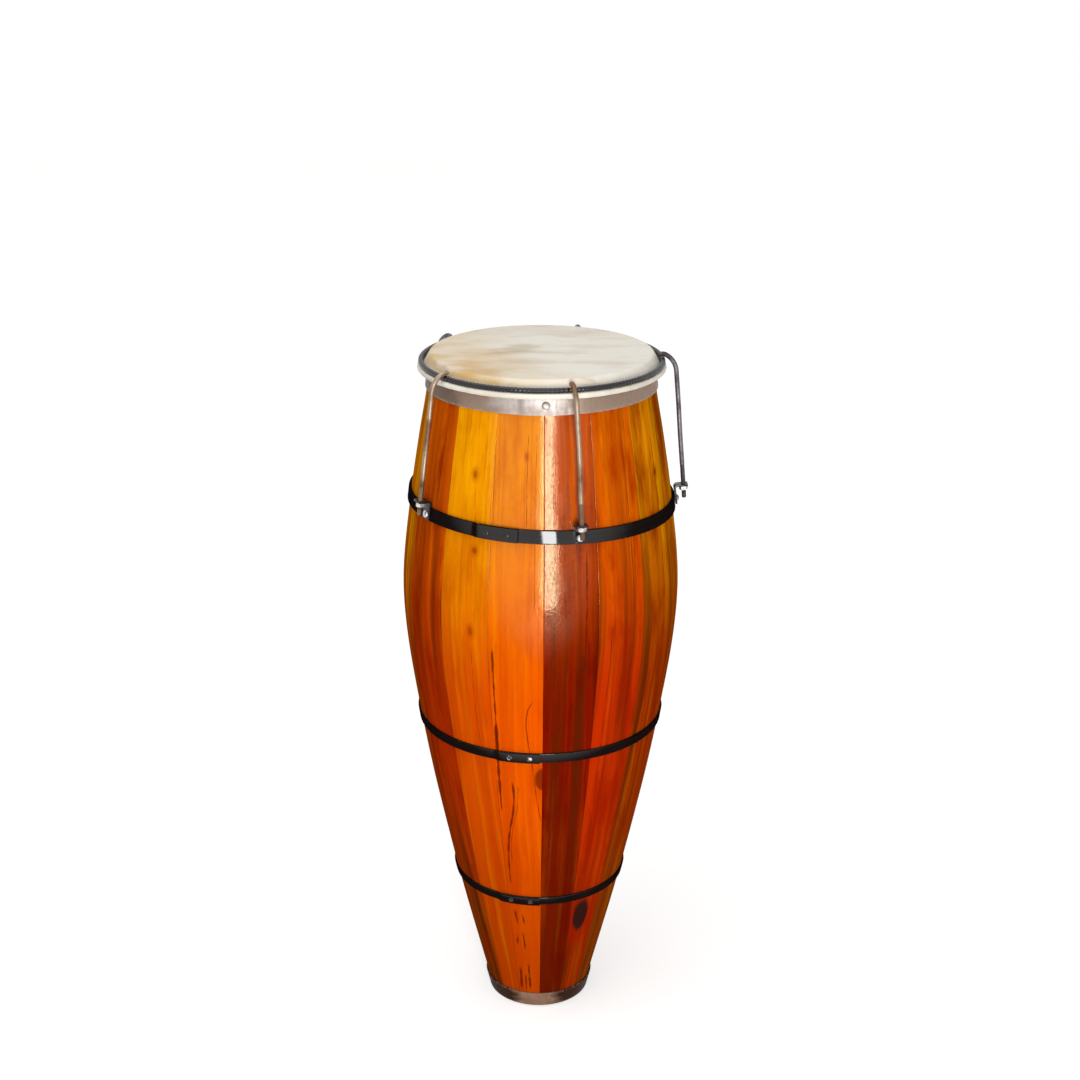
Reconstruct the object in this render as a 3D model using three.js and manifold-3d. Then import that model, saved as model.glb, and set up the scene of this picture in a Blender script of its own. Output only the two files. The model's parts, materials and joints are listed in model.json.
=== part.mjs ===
// An atabaque: a tall barrel drum of bent wooden staves held by five hoops, with a rawhide head
// that hooks draw down over the mouth. Millimetres, +Z up. The origin is the middle of the foot,
// the front is towards -Y, and bearings are degrees from the front, positive to the right.
import * as THREE from 'three';
import { mergeVertices } from 'three/addons/utils/BufferGeometryUtils.js';
import Module from 'manifold-3d';

const wasm = await Module();
wasm.setup();

const { degToRad, radToDeg } = THREE.MathUtils;

// Gap left between pieces that touch
const FIT = 0.3;

// Shell: its height and its widest radius, and the share of them at each station of its outline
const SHELL_HEIGHT = 898.4;
const BELLY_RADIUS = 176.4;
const FOOT_RADIUS_RATIO = 0.3662;
const LOWER_HEIGHT_RATIO = 0.2124;
const LOWER_RADIUS_RATIO = 0.631;
const MIDDLE_HEIGHT_RATIO = 0.4679;
const MIDDLE_RADIUS_RATIO = 0.8889;
const BELLY_HEIGHT_RATIO = 0.6572;
const SHOULDER_HEIGHT_RATIO = 0.7959;
const SHOULDER_RADIUS_RATIO = 0.9365;
const NECK_HEIGHT_RATIO = 0.9023;
const NECK_RADIUS_RATIO = 0.852;
const RIM_HEIGHT_RATIO = 0.953;
const RIM_RADIUS_RATIO = 0.807;
const MOUTH_RADIUS_RATIO = 0.782;

// Staves
const STAVE_COUNT = 16;
const STAVE_FACETS = 3;
const STAVE_THICKNESS = 14;
const STAVE_STEP = 45;
const JOINT_BEARING = 1.25;
const EDGE_BEVEL = 3;

// Hoops: flat bands with riveted laps
const HOOP_THICKNESS = 2;
const TENSION_HOOP_THICKNESS = 3;
const FOOT_HOOP_LIFT = 1;
const FOOT_HOOP_WIDTH = 22;
const LOWER_HOOP_WIDTH = 11.5;
const MIDDLE_HOOP_WIDTH = 13;
const TENSION_HOOP_WIDTH = 16.5;
const TENSION_HOOP_TILT_ANGLE = 1.9;
const MOUTH_HOOP_WIDTH = 24.5;
const MOUTH_HOOP_DROP = 16;
const LAP_LENGTH = 50;

// Rivets
const RIVET_SIDES = 10;
const RIVET_DOME_STEPS = 3;
const RIVET_SHANK_RADIUS = 1.8;
const RIVET_HEAD_RADIUS = 3.4;
const RIVET_HEAD_HEIGHT = 1.6;
const MOUTH_RIVET_HEAD_RADIUS = 5;
const BRACKET_RIVET_SHANK_RADIUS = 2.4;
const BRACKET_RIVET_HEAD_RADIUS = 4.6;
const BRACKET_RIVET_HEAD_HEIGHT = 2.6;

// Head: a hide that runs from the bearing edge to a roll round the flesh hoop, under the crown ring
const HIDE_THICKNESS = 1.3;
const FLESH_HOOP_RADIUS = 2;
const FLESH_HOOP_SIDES = 8;
const HEAD_CLEARANCE = 5;
const EDGE_STEPS = 2;
const ROLL_STEPS = 8;
const ROLL_END_ANGLE = 110;
const CROWN_RING_RADIUS = 3.25;
const CROWN_RING_SIDES = 10;
const CROWN_RING_INSET = 1.1;

// Hooks: rods with a bend over the crown ring and a wide shoulder outside it
const ROD_RADIUS = 3;
const ROD_SIDES = 10;
const ROD_TAIL_LENGTH = 11;
const HOOK_CLEARANCE = 1.8;
const HOOK_FLARE_WIDTH = 8;
const HOOK_SHOULDER_RADIUS = 25.5;
const HOOK_WRAP_ANGLE = 125;
const BEND_STEPS = 6;

// Brackets and nuts
const BRACKET_WIDTH = 14;
const BRACKET_THICKNESS = 2.5;
const FLANGE_HEIGHT = 11;
const BRACKET_FOOT_MARGIN = 1.5;
const BRACKET_BEND_RADIUS = 2;
const BRACKET_BEND_STEPS = 4;
const ROD_HOLE_CLEARANCE = 0.5;
const FLANGE_MARGIN = 2;
const NUT_WALL = 2;
const NUT_HEIGHT = 5;
const NUT_GAP = 2.9;

// Bearings of the laps, and of the hook stations, which are spaced by hand on the real drum. A
// bracket turns on its one rivet, so a station can lean, with its hook to the right if positive.
const FOOT_LAP_BEARING = 180;
const LOWER_LAP_BEARING = -12;
const MIDDLE_LAP_BEARING = -9;
const TENSION_LAP_BEARING = -18;
const MOUTH_LAP_BEARING = 2;
const FRONT_HOOK_BEARING = 15.7;
const FRONT_HOOK_LEAN_ANGLE = -1.6;
const RIGHT_HOOK_BEARING = 90;
const RIGHT_HOOK_LEAN_ANGLE = 0;
const REAR_RIGHT_HOOK_BEARING = 161;
const REAR_RIGHT_HOOK_LEAN_ANGLE = 0.8;
const REAR_LEFT_HOOK_BEARING = -127;
const REAR_LEFT_HOOK_LEAN_ANGLE = 0;
const LEFT_HOOK_BEARING = -55.3;
const LEFT_HOOK_LEAN_ANGLE = 4.4;

// Bearing of the plane in which a station's pieces are made before they are turned to their place
const STATION_PLANE_BEARING = 90;

// Colour, roughness and metalness of each finish
const FINISHES = {
  bareSteel: [0x8c8782, 0.45, 0.9],
  blackPaint: [0x1b191a, 0.4, 0.3],
  blackIron: [0x242126, 0.55, 0.6],
  rawhide: [0xe6dcc4, 0.6, 0],
  rodSteel: [0x7b7169, 0.45, 0.85],
  zinc: [0xbdb8b4, 0.35, 0.9],
  fleshIron: [0x55504c, 0.6, 0.8],
};
const VARNISH_ROUGHNESS = 0.25;
const STAVE_TONES = [
  0x5e2408, 0xa83a0c, 0xb4560f, 0xc26a14, 0x93390c, 0xc9741a, 0x7c2d0b, 0xb75a12,
  0xc6660f, 0x8a330a, 0xbb5f13, 0x9c430e, 0xb25411, 0x7d2a08, 0xd58a1c, 0xcf660f,
];

const facetCount = STAVE_COUNT * STAVE_FACETS;

const stations = [
  [0, FOOT_RADIUS_RATIO],
  [LOWER_HEIGHT_RATIO, LOWER_RADIUS_RATIO],
  [MIDDLE_HEIGHT_RATIO, MIDDLE_RADIUS_RATIO],
  [BELLY_HEIGHT_RATIO, 1],
  [SHOULDER_HEIGHT_RATIO, SHOULDER_RADIUS_RATIO],
  [NECK_HEIGHT_RATIO, NECK_RADIUS_RATIO],
  [RIM_HEIGHT_RATIO, RIM_RADIUS_RATIO],
  [1, MOUTH_RADIUS_RATIO],
];
const outline = new THREE.CubicInterpolant(
  stations.map(([height]) => height * SHELL_HEIGHT),
  stations.map(([, radius]) => radius * BELLY_RADIUS),
  1,
);

// Outer radius of the shell at a height
function shellRadius(z) {
  return outline.evaluate(z)[0];
}

// Angle about +Z, from +X, of a bearing
function bearingAngle(bearing) {
  return degToRad(bearing - 90);
}

function point(x, y) {
  return new THREE.Vector2(x, y);
}

// The point at an angle on a circle, in the plane of a radius and the axis
function onCircle(centre, radius, angle) {
  return point(centre.x + radius * Math.cos(angle), centre.y + radius * Math.sin(angle));
}

// Where the line through p along d crosses the line through q along e
function crossing(p, d, q, e) {
  const along = q.clone().sub(p).cross(e) / d.cross(e);
  return p.clone().addScaledVector(d, along);
}

function toSolid(geometry) {
  const bare = new THREE.BufferGeometry();
  bare.setAttribute('position', geometry.getAttribute('position'));
  bare.setIndex(geometry.index);
  const merged = mergeVertices(bare);
  return new wasm.Manifold(
    new wasm.Mesh({
      numProp: 3,
      vertProperties: merged.getAttribute('position').array,
      triVerts: new Uint32Array(merged.index.array),
    }),
  );
}

function toGeometry(solid) {
  const { vertProperties, triVerts } = solid.getMesh();
  const geometry = new THREE.BufferGeometry();
  geometry.setAttribute('position', new THREE.BufferAttribute(vertProperties, 3));
  geometry.setIndex(new THREE.BufferAttribute(triVerts, 1));
  geometry.computeVertexNormals();
  return geometry;
}

// A solid turned round +Z from a counter-clockwise profile of (radius, height) points
function turned(profile, sides, startBearing = 0) {
  const geometry = new THREE.LatheGeometry(profile, sides, degToRad(startBearing));
  return geometry.rotateX(Math.PI / 2);
}

// A ring whose facets line up with the staves, from a profile clear of the axis
function shellRing(profile) {
  return turned([...profile, profile[0]], facetCount, JOINT_BEARING);
}

// A round bar along +Z between two heights
function bar(radius, low, high, sides) {
  return turned([point(0, low), point(radius, low), point(radius, high), point(0, high)], sides);
}

// A solid through rings of points of one count, each ring counter-clockwise and above the last
function loft(rings) {
  const count = rings[0].length;
  const top = (rings.length - 1) * count;
  const faces = [];
  for (let level = 0; level < top; level += count) {
    for (let i = 0; i < count; i++) {
      const a = level + i;
      const b = level + ((i + 1) % count);
      faces.push(a, b, b + count, a, b + count, a + count);
    }
  }
  for (let i = 1; i < count - 1; i++) {
    faces.push(0, i + 1, i, top, top + i, top + i + 1);
  }
  const geometry = new THREE.BufferGeometry().setFromPoints(rings.flat());
  geometry.setIndex(faces);
  geometry.computeVertexNormals();
  return geometry;
}

// Placement on the shell with local +Z pointing out of a face that leans by slope (radius over height)
function outward(bearing, radius, height, slope) {
  return new THREE.Matrix4()
    .makeRotationZ(bearingAngle(bearing))
    .multiply(new THREE.Matrix4().makeTranslation(radius, 0, height))
    .multiply(new THREE.Matrix4().makeRotationY(Math.PI / 2 + Math.atan(slope)));
}

function material(finish) {
  const [color, roughness, metalness] = FINISHES[finish];
  return new THREE.MeshStandardMaterial({ color, roughness, metalness });
}

const drum = new THREE.Group();

function add(name, geometry, finish, parent = drum) {
  const mesh = new THREE.Mesh(geometry, material(finish));
  mesh.name = name;
  parent.add(mesh);
  return mesh;
}

// A band from a height up, with its outer radii and its slope (radius over height). A tilted band
// has its right side low.
function band(low, width, thickness, tilt = 0) {
  const high = low + width;
  const lowRadius = shellRadius(low) + FIT + thickness;
  const highRadius = shellRadius(high) + FIT + thickness;
  const slope = (highRadius - lowRadius) / width;
  const middleRadius = (lowRadius + highRadius) / 2;
  return { low, high, thickness, tilt, lowRadius, highRadius, middleRadius, slope };
}

// Hoops: where each band sits, where it laps, its rivets and its finish
const lapRivets = { rivetCount: 2, rivetHeadRadius: RIVET_HEAD_RADIUS };
const mouthRivets = { rivetCount: 1, rivetHeadRadius: MOUTH_RIVET_HEAD_RADIUS };
const lowerHoopLow = LOWER_HEIGHT_RATIO * SHELL_HEIGHT - LOWER_HOOP_WIDTH / 2;
const middleHoopLow = MIDDLE_HEIGHT_RATIO * SHELL_HEIGHT - MIDDLE_HOOP_WIDTH / 2;
const tensionHoopLow = SHOULDER_HEIGHT_RATIO * SHELL_HEIGHT - TENSION_HOOP_WIDTH / 2;
const mouthHoopLow = SHELL_HEIGHT - MOUTH_HOOP_DROP - MOUTH_HOOP_WIDTH;
const hoops = {
  foot: {
    ...band(FOOT_HOOP_LIFT, FOOT_HOOP_WIDTH, HOOP_THICKNESS),
    ...lapRivets,
    lapBearing: FOOT_LAP_BEARING,
    finish: 'bareSteel',
  },
  lower: {
    ...band(lowerHoopLow, LOWER_HOOP_WIDTH, HOOP_THICKNESS),
    ...lapRivets,
    lapBearing: LOWER_LAP_BEARING,
    finish: 'blackPaint',
  },
  middle: {
    ...band(middleHoopLow, MIDDLE_HOOP_WIDTH, HOOP_THICKNESS),
    ...lapRivets,
    lapBearing: MIDDLE_LAP_BEARING,
    finish: 'blackPaint',
  },
  tension: {
    ...band(tensionHoopLow, TENSION_HOOP_WIDTH, TENSION_HOOP_THICKNESS, TENSION_HOOP_TILT_ANGLE),
    ...lapRivets,
    lapBearing: TENSION_LAP_BEARING,
    finish: 'blackPaint',
  },
  mouth: {
    ...band(mouthHoopLow, MOUTH_HOOP_WIDTH, HOOP_THICKNESS),
    ...mouthRivets,
    lapBearing: MOUTH_LAP_BEARING,
    finish: 'bareSteel',
  },
};

// Hook stations: the bearing and the lean of each
const hookStations = {
  front: [FRONT_HOOK_BEARING, FRONT_HOOK_LEAN_ANGLE],
  right: [RIGHT_HOOK_BEARING, RIGHT_HOOK_LEAN_ANGLE],
  rear_right: [REAR_RIGHT_HOOK_BEARING, REAR_RIGHT_HOOK_LEAN_ANGLE],
  rear_left: [REAR_LEFT_HOOK_BEARING, REAR_LEFT_HOOK_LEAN_ANGLE],
  left: [LEFT_HOOK_BEARING, LEFT_HOOK_LEAN_ANGLE],
};

// A band's ring between two distances from its outer face, positive outwards
function bandRing(hoop, inside, outside) {
  return shellRing([
    point(hoop.lowRadius + inside, hoop.low),
    point(hoop.lowRadius + outside, hoop.low),
    point(hoop.highRadius + outside, hoop.high),
    point(hoop.highRadius + inside, hoop.high),
  ]);
}

// An upright wedge from the axis that takes in the lap of a band
function lapWedge(hoop) {
  const axis = point(0, 0);
  const reach = 2 * hoop.middleRadius;
  const half = LAP_LENGTH / 2 / hoop.middleRadius;
  const corners = [axis, onCircle(axis, reach, -half), onCircle(axis, reach, half)];
  const depth = hoop.high - hoop.low + 2 * FIT;
  const wedge = new THREE.ExtrudeGeometry(new THREE.Shape(corners), { depth, bevelEnabled: false });
  wedge.rotateZ(bearingAngle(hoop.lapBearing));
  return wedge.translate(0, 0, hoop.low - FIT);
}

// How far a hoop lies above its level line at a bearing
function hoopLift(hoop, bearing) {
  return -Math.tan(degToRad(hoop.tilt)) * hoop.middleRadius * Math.sin(degToRad(bearing));
}

// Tilts a level hoop, and shifts it sideways to stay on the tapering shell
function hoopTilt(hoop) {
  const rise = Math.tan(degToRad(hoop.tilt));
  const shear = new THREE.Matrix4().makeShear(0, -rise, 0, 0, 0, 0);
  return shear.setPosition(-hoop.slope * rise * hoop.middleRadius, 0, 0);
}

// Placement at a bearing, a distance out from the middle of a hoop's face where that has a lift
function onHoop(hoop, bearing, lift, out) {
  const height = (hoop.low + hoop.high) / 2 + lift;
  return outward(bearing, hoop.middleRadius + hoop.slope * lift + out, height, hoop.slope);
}

// Placements of a hoop's lap rivets, spread along the outer face of the lap
function lapRivetPlaces(hoop) {
  const span = radToDeg(LAP_LENGTH / hoop.middleRadius);
  return Array.from({ length: hoop.rivetCount }, (_, i) => {
    const bearing = hoop.lapBearing + span * ((i + 0.5) / hoop.rivetCount - 0.5);
    return onHoop(hoop, bearing, hoopLift(hoop, bearing), hoop.thickness + FIT);
  });
}

// Placement at a bearing of a bracket's rivet, on the outer face of a leg that has a lift
function bracketRivetPlace(bearing, lift) {
  const out = (2 * FIT + BRACKET_THICKNESS) * Math.hypot(1, hoops.tension.slope);
  return onHoop(hoops.tension, bearing, lift, out);
}

// A band closed by its lap, with a hole for each rivet that goes through it
function hoopGeometry(hoop, holes) {
  const ring = toSolid(bandRing(hoop, -hoop.thickness, 0));
  const lap = toSolid(bandRing(hoop, -hoop.thickness / 2, hoop.thickness));
  let solid = ring.add(lap.intersect(toSolid(lapWedge(hoop)))).transform(hoopTilt(hoop).elements);
  for (const { place, radius, depth } of holes) {
    const hole = bar(radius + FIT, -depth, depth, RIVET_SIDES).applyMatrix4(place);
    solid = solid.subtract(toSolid(hole));
  }
  return toGeometry(solid);
}

// A rivet with its head's seat at z = 0, its dome above and its shank below
function rivetGeometry(shankRadius, headRadius, headHeight, length) {
  const domeRadius = (headRadius ** 2 + headHeight ** 2) / (2 * headHeight);
  const domeCentre = point(0, headHeight - domeRadius);
  const rim = Math.acos(headRadius / domeRadius);
  const profile = [point(0, -length), point(shankRadius, -length), point(shankRadius, 0)];
  for (let i = 0; i < RIVET_DOME_STEPS; i++) {
    const turn = rim + ((Math.PI / 2 - rim) * i) / RIVET_DOME_STEPS;
    profile.push(onCircle(domeCentre, domeRadius, turn));
  }
  return turned([...profile, point(0, headHeight)], RIVET_SIDES);
}

function addHoops() {
  for (const [name, hoop] of Object.entries(hoops)) {
    const places = lapRivetPlaces(hoop);
    const length = 2 * hoop.thickness + FIT;
    const holes = places.map((place) => (
      { place, radius: RIVET_SHANK_RADIUS, depth: length + hoop.thickness }
    ));
    if (hoop === hoops.tension) {
      for (const [bearing] of Object.values(hookStations)) {
        const place = bracketRivetPlace(bearing, hoopLift(hoop, bearing));
        holes.push({ place, radius: BRACKET_RIVET_SHANK_RADIUS, depth: length + BRACKET_THICKNESS });
      }
    }
    add(`${name}_hoop`, hoopGeometry(hoop, holes), hoop.finish);
    places.forEach((place, i) => {
      const { rivetHeadRadius, finish } = hoop;
      const rivet = rivetGeometry(RIVET_SHANK_RADIUS, rivetHeadRadius, RIVET_HEAD_HEIGHT, length);
      add(`${name}_hoop_rivet_${i + 1}`, rivet, finish).applyMatrix4(place);
    });
  }
}

// Heights where the staves have a ring of points: their ends, the hoops' edges, and steps between
function staveHeights() {
  const edges = Object.values(hoops).flatMap(({ low, high }) => [low, high]);
  const belly = BELLY_HEIGHT_RATIO * SHELL_HEIGHT;
  const marks = [0, ...edges, belly, SHELL_HEIGHT - EDGE_BEVEL, SHELL_HEIGHT].sort((a, b) => a - b);
  const heights = [0];
  for (let i = 1; i < marks.length; i++) {
    const span = marks[i] - marks[i - 1];
    const steps = Math.ceil(span / STAVE_STEP);
    for (let step = 1; step <= steps; step++) {
      heights.push(marks[i - 1] + (span * step) / steps);
    }
  }
  return heights;
}

// The section of a stave at a height, round outside and flat inside, about the +X direction
function staveSection(z) {
  const half = Math.PI / STAVE_COUNT;
  const outer = shellRadius(z) - (z === SHELL_HEIGHT ? EDGE_BEVEL : 0);
  const inner = (shellRadius(z) - STAVE_THICKNESS) / Math.cos(half);
  const at = (radius, turn) => new THREE.Vector3(radius * Math.cos(turn), radius * Math.sin(turn), z);
  const edge = (radius) => half - Math.asin(FIT / 2 / radius);
  const section = [at(outer, -edge(outer))];
  for (let facet = 1; facet < STAVE_FACETS; facet++) {
    section.push(at(outer, half * ((2 * facet) / STAVE_FACETS - 1)));
  }
  return [...section, at(outer, edge(outer)), at(inner, edge(inner)), at(inner, -edge(inner))];
}

function addStaves() {
  const geometry = loft(staveHeights().map(staveSection));
  const width = 360 / STAVE_COUNT;
  for (let i = 0; i < STAVE_COUNT; i++) {
    const stave = new THREE.Mesh(geometry, new THREE.MeshStandardMaterial({
      color: STAVE_TONES[i % STAVE_TONES.length],
      roughness: VARNISH_ROUGHNESS,
    }));
    stave.name = `stave_${String(i + 1).padStart(2, '0')}`;
    stave.rotation.z = bearingAngle(JOINT_BEARING + (i + 0.5) * width);
    drum.add(stave);
  }
}

// The head's section: the centres of the bearing edge, the flesh hoop and the crown ring.
// The roll hangs level with the mouth hoop's top edge.
const hideRadius = FLESH_HOOP_RADIUS + FIT + HIDE_THICKNESS / 2;
const rollRadius = hideRadius + HIDE_THICKNESS / 2;
const edgeCentre = point(shellRadius(SHELL_HEIGHT) - EDGE_BEVEL, SHELL_HEIGHT - EDGE_BEVEL);
const fleshCentre = point(hoops.mouth.highRadius + HEAD_CLEARANCE + rollRadius, hoops.mouth.high);
const crownSeat = CROWN_RING_RADIUS + FIT + rollRadius;
const crownCentre = point(
  fleshCentre.x - CROWN_RING_INSET,
  fleshCentre.y + Math.sqrt(crownSeat ** 2 - CROWN_RING_INSET ** 2),
);

function ringSection(centre, radius, sides) {
  return Array.from({ length: sides }, (_, i) => onCircle(centre, radius, (2 * Math.PI * i) / sides));
}

// The hide: flat over the mouth, round the bearing edge, straight down to the roll and round it.
// It leaves the edge and meets the roll on the line that touches both circles from opposite sides.
function hideProfile() {
  const edgeRadius = EDGE_BEVEL + FIT + HIDE_THICKNESS / 2;
  const span = fleshCentre.clone().sub(edgeCentre);
  const lean = span.angle() - 2 * Math.PI - Math.asin((edgeRadius + hideRadius) / span.length());
  const leave = lean + Math.PI / 2;
  const arc = (from, to, steps) => (
    Array.from({ length: steps + 1 }, (_, i) => from + ((to - from) * i) / steps)
  );
  const side = (offset) => [
    point(0, edgeCentre.y + edgeRadius + offset),
    ...arc(Math.PI / 2, leave, EDGE_STEPS).map((turn) => onCircle(edgeCentre, edgeRadius + offset, turn)),
    ...arc(leave + Math.PI, 2 * Math.PI + degToRad(ROLL_END_ANGLE), ROLL_STEPS).map((turn) => (
      onCircle(fleshCentre, hideRadius - offset, turn)
    )),
  ];
  const half = HIDE_THICKNESS / 2;
  return [...side(-half), ...side(half).reverse()];
}

function addHead() {
  add('hide', turned(hideProfile(), facetCount, JOINT_BEARING), 'rawhide');
  add('flesh_hoop', shellRing(ringSection(fleshCentre, FLESH_HOOP_RADIUS, FLESH_HOOP_SIDES)), 'fleshIron');
  add('crown_ring', shellRing(ringSection(crownCentre, CROWN_RING_RADIUS, CROWN_RING_SIDES)), 'blackIron');
}

// The rod's hole in a flange on the level line, in the plane of a radius and the axis. The rod stands
// off the bracket's leg by the nut and a gap.
const nutCorner = (ROD_RADIUS + NUT_WALL) / Math.cos(Math.PI / 6);
const flangeHole = point(
  hoops.tension.highRadius + FIT + BRACKET_THICKNESS + NUT_GAP + nutCorner,
  hoops.tension.high + FLANGE_HEIGHT,
);
const nutTop = BRACKET_THICKNESS + FIT;
const rodEnd = nutTop + NUT_HEIGHT + ROD_TAIL_LENGTH;
const hookRadius = CROWN_RING_RADIUS + HOOK_CLEARANCE + ROD_RADIUS;
const hookCentre = point(crownCentre.x, crownCentre.y - HOOK_CLEARANCE + 2 * FIT);
const hookReach = hookRadius + HOOK_FLARE_WIDTH;

// The line of a rod, in the plane of a radius and the axis, from its hole up past the crown ring
function rodLine(hole) {
  const span = hookCentre.clone().sub(hole);
  const lean = Math.atan2(-span.x, span.y) - Math.asin(hookReach / span.length());
  return {
    hole,
    lean,
    up: point(-Math.sin(lean), Math.cos(lean)),
    out: point(Math.cos(lean), Math.sin(lean)),
    bendHeight: Math.sqrt(span.lengthSq() - hookReach ** 2),
  };
}

// The middle line of a hook, from the rod's lower end to the hook's tip
class HookLine extends THREE.Curve {
  constructor(rod) {
    super();
    const ease = HOOK_SHOULDER_RADIUS - hookReach;
    const drop = Math.sqrt((HOOK_SHOULDER_RADIUS - hookRadius) ** 2 - ease ** 2);
    const turn = Math.atan2(drop, ease);
    const wrap = degToRad(HOOK_WRAP_ANGLE);
    const shoulder = point(-HOOK_SHOULDER_RADIUS, rod.bendHeight - drop);
    const bend = point(-hookReach, rod.bendHeight);
    this.rod = rod;
    this.stops = [point(0, -rodEnd)];
    for (let i = 0; i <= BEND_STEPS; i++) {
      this.stops.push(onCircle(shoulder, HOOK_SHOULDER_RADIUS, (turn * i) / BEND_STEPS));
    }
    for (let i = 1; i <= BEND_STEPS; i++) {
      this.stops.push(onCircle(bend, hookRadius, turn + ((wrap - turn) * i) / BEND_STEPS));
    }
    this.steps = this.stops.length - 1;
  }

  // Each step of the sweep runs from one stop to the next
  getUtoTmapping(u) {
    return u;
  }

  getPoint(t, target = new THREE.Vector3()) {
    const step = Math.min(Math.floor(t * this.steps), this.steps - 1);
    const stop = this.stops[step].clone().lerp(this.stops[step + 1], t * this.steps - step);
    const { hole, out, up } = this.rod;
    const { x, y } = hole.clone().addScaledVector(out, stop.x).addScaledVector(up, stop.y);
    return target.set(x, 0, y);
  }
}

function circle(radius) {
  return new THREE.Shape().absarc(0, 0, radius, 0, 2 * Math.PI);
}

function hookGeometry(rod) {
  const line = new HookLine(rod);
  return new THREE.ExtrudeGeometry(circle(ROD_RADIUS), {
    steps: line.steps,
    curveSegments: ROD_SIDES / 2,
    extrudePath: line,
  });
}

// Turns a piece made along +Z at the origin to stand on a rod's line, at a height above the flange
function onRod(rod, geometry, height) {
  const { x, y } = rod.hole.clone().addScaledVector(rod.up, height);
  return geometry.rotateY(-rod.lean).translate(x, 0, y);
}

function nutGeometry(rod) {
  const hex = new THREE.Shape(ringSection(point(0, 0), nutCorner, 6));
  hex.holes.push(circle(ROD_RADIUS + FIT));
  const nut = new THREE.ExtrudeGeometry(hex, {
    depth: NUT_HEIGHT,
    curveSegments: ROD_SIDES,
    bevelEnabled: false,
  });
  return onRod(rod, nut, -nutTop - NUT_HEIGHT);
}

// A rounded corner of a section that comes in along one direction and leaves along another
function roundedCorner(corner, arriving, leaving, radius) {
  const bend = Math.asin(arriving.cross(leaving));
  const centre = corner.clone()
    .addScaledVector(arriving, -radius * Math.abs(Math.tan(bend / 2)))
    .addScaledVector(point(-arriving.y, arriving.x), radius * Math.sign(bend));
  const start = arriving.angle() - (Math.sign(bend) * Math.PI) / 2;
  return Array.from({ length: BRACKET_BEND_STEPS + 1 }, (_, i) => (
    onCircle(centre, radius, start + (bend * i) / BRACKET_BEND_STEPS)
  ));
}

// A bent plate: its leg lies on the tension hoop, its flange stands square to the rod
function bracketGeometry(rod, lift) {
  const { low, lowRadius, slope } = hoops.tension;
  const legUp = point(slope, 1).normalize();
  const legOut = point(legUp.y, -legUp.x);
  const footRise = BRACKET_FOOT_MARGIN + lift;
  const innerFoot = point(lowRadius + footRise * slope, low + footRise).addScaledVector(legOut, FIT);
  const outerFoot = innerFoot.clone().addScaledVector(legOut, BRACKET_THICKNESS);
  const underside = rod.hole.clone().addScaledVector(rod.up, -BRACKET_THICKNESS);
  const tip = ROD_RADIUS + ROD_HOLE_CLEARANCE + FLANGE_MARGIN;
  const outerBend = crossing(outerFoot, legUp, underside, rod.out);
  const innerBend = crossing(innerFoot, legUp, rod.hole, rod.out);
  const section = new THREE.Shape([
    innerFoot,
    outerFoot,
    ...roundedCorner(outerBend, legUp, rod.out, BRACKET_BEND_RADIUS),
    underside.clone().addScaledVector(rod.out, tip),
    rod.hole.clone().addScaledVector(rod.out, tip),
    ...roundedCorner(
      innerBend, rod.out.clone().negate(), legUp.clone().negate(), BRACKET_BEND_RADIUS + BRACKET_THICKNESS,
    ),
  ]);
  const plate = new THREE.ExtrudeGeometry(section, { depth: BRACKET_WIDTH, bevelEnabled: false });
  plate.rotateX(Math.PI / 2).translate(0, BRACKET_WIDTH / 2, 0);
  const through = 2 * BRACKET_THICKNESS;
  const rodHole = bar(ROD_RADIUS + ROD_HOLE_CLEARANCE, -through, through, ROD_SIDES);
  const rivetHole = bar(BRACKET_RIVET_SHANK_RADIUS + FIT, -through, through, RIVET_SIDES);
  rivetHole.applyMatrix4(bracketRivetPlace(STATION_PLANE_BEARING, lift));
  const solid = toSolid(plate).subtract(toSolid(onRod(rod, rodHole, 0))).subtract(toSolid(rivetHole));
  return toGeometry(solid);
}

// Turns a station about the outward axis of its rivet
function stationLean(rivetPlace, lean) {
  const turn = new THREE.Matrix4().makeRotationZ(-degToRad(lean));
  return rivetPlace.clone().multiply(turn).multiply(rivetPlace.clone().invert());
}

// Each station sits where the tilted tension hoop has it, and its rod runs to the level crown ring
function addHookStations() {
  const rivetLength = 2 * FIT + BRACKET_THICKNESS + TENSION_HOOP_THICKNESS;
  for (const [place, [bearing, lean]] of Object.entries(hookStations)) {
    const lift = hoopLift(hoops.tension, bearing);
    const rivetPlace = bracketRivetPlace(bearing, lift);
    const hole = flangeHole.clone().addScaledVector(point(hoops.tension.slope, 1), lift);
    const rod = rodLine(hole);
    const station = new THREE.Group();
    station.rotation.z = bearingAngle(bearing);
    station.applyMatrix4(stationLean(rivetPlace, lean));
    drum.add(station);
    add(`bracket_${place}`, bracketGeometry(rod, lift), 'blackPaint', station);
    add(`hook_${place}`, hookGeometry(rod), 'rodSteel', station);
    add(`nut_${place}`, nutGeometry(rod), 'zinc', station);
    const rivet = rivetGeometry(
      BRACKET_RIVET_SHANK_RADIUS, BRACKET_RIVET_HEAD_RADIUS, BRACKET_RIVET_HEAD_HEIGHT, rivetLength,
    );
    add(`bracket_rivet_${place}`, rivet, 'zinc').applyMatrix4(rivetPlace);
  }
}

addStaves();
addHoops();
addHead();
addHookStations();

export default drum;
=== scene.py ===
"""An atabaque: a tall barrel drum of varnished staves, with a rawhide head drawn down by hooks.

Metres, +Z up. The origin is the middle of the foot, the front is towards -Y, and bearings are angles
from the front, positive to the right.
"""
import json
import math
from collections import namedtuple
from functools import partialmethod

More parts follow.
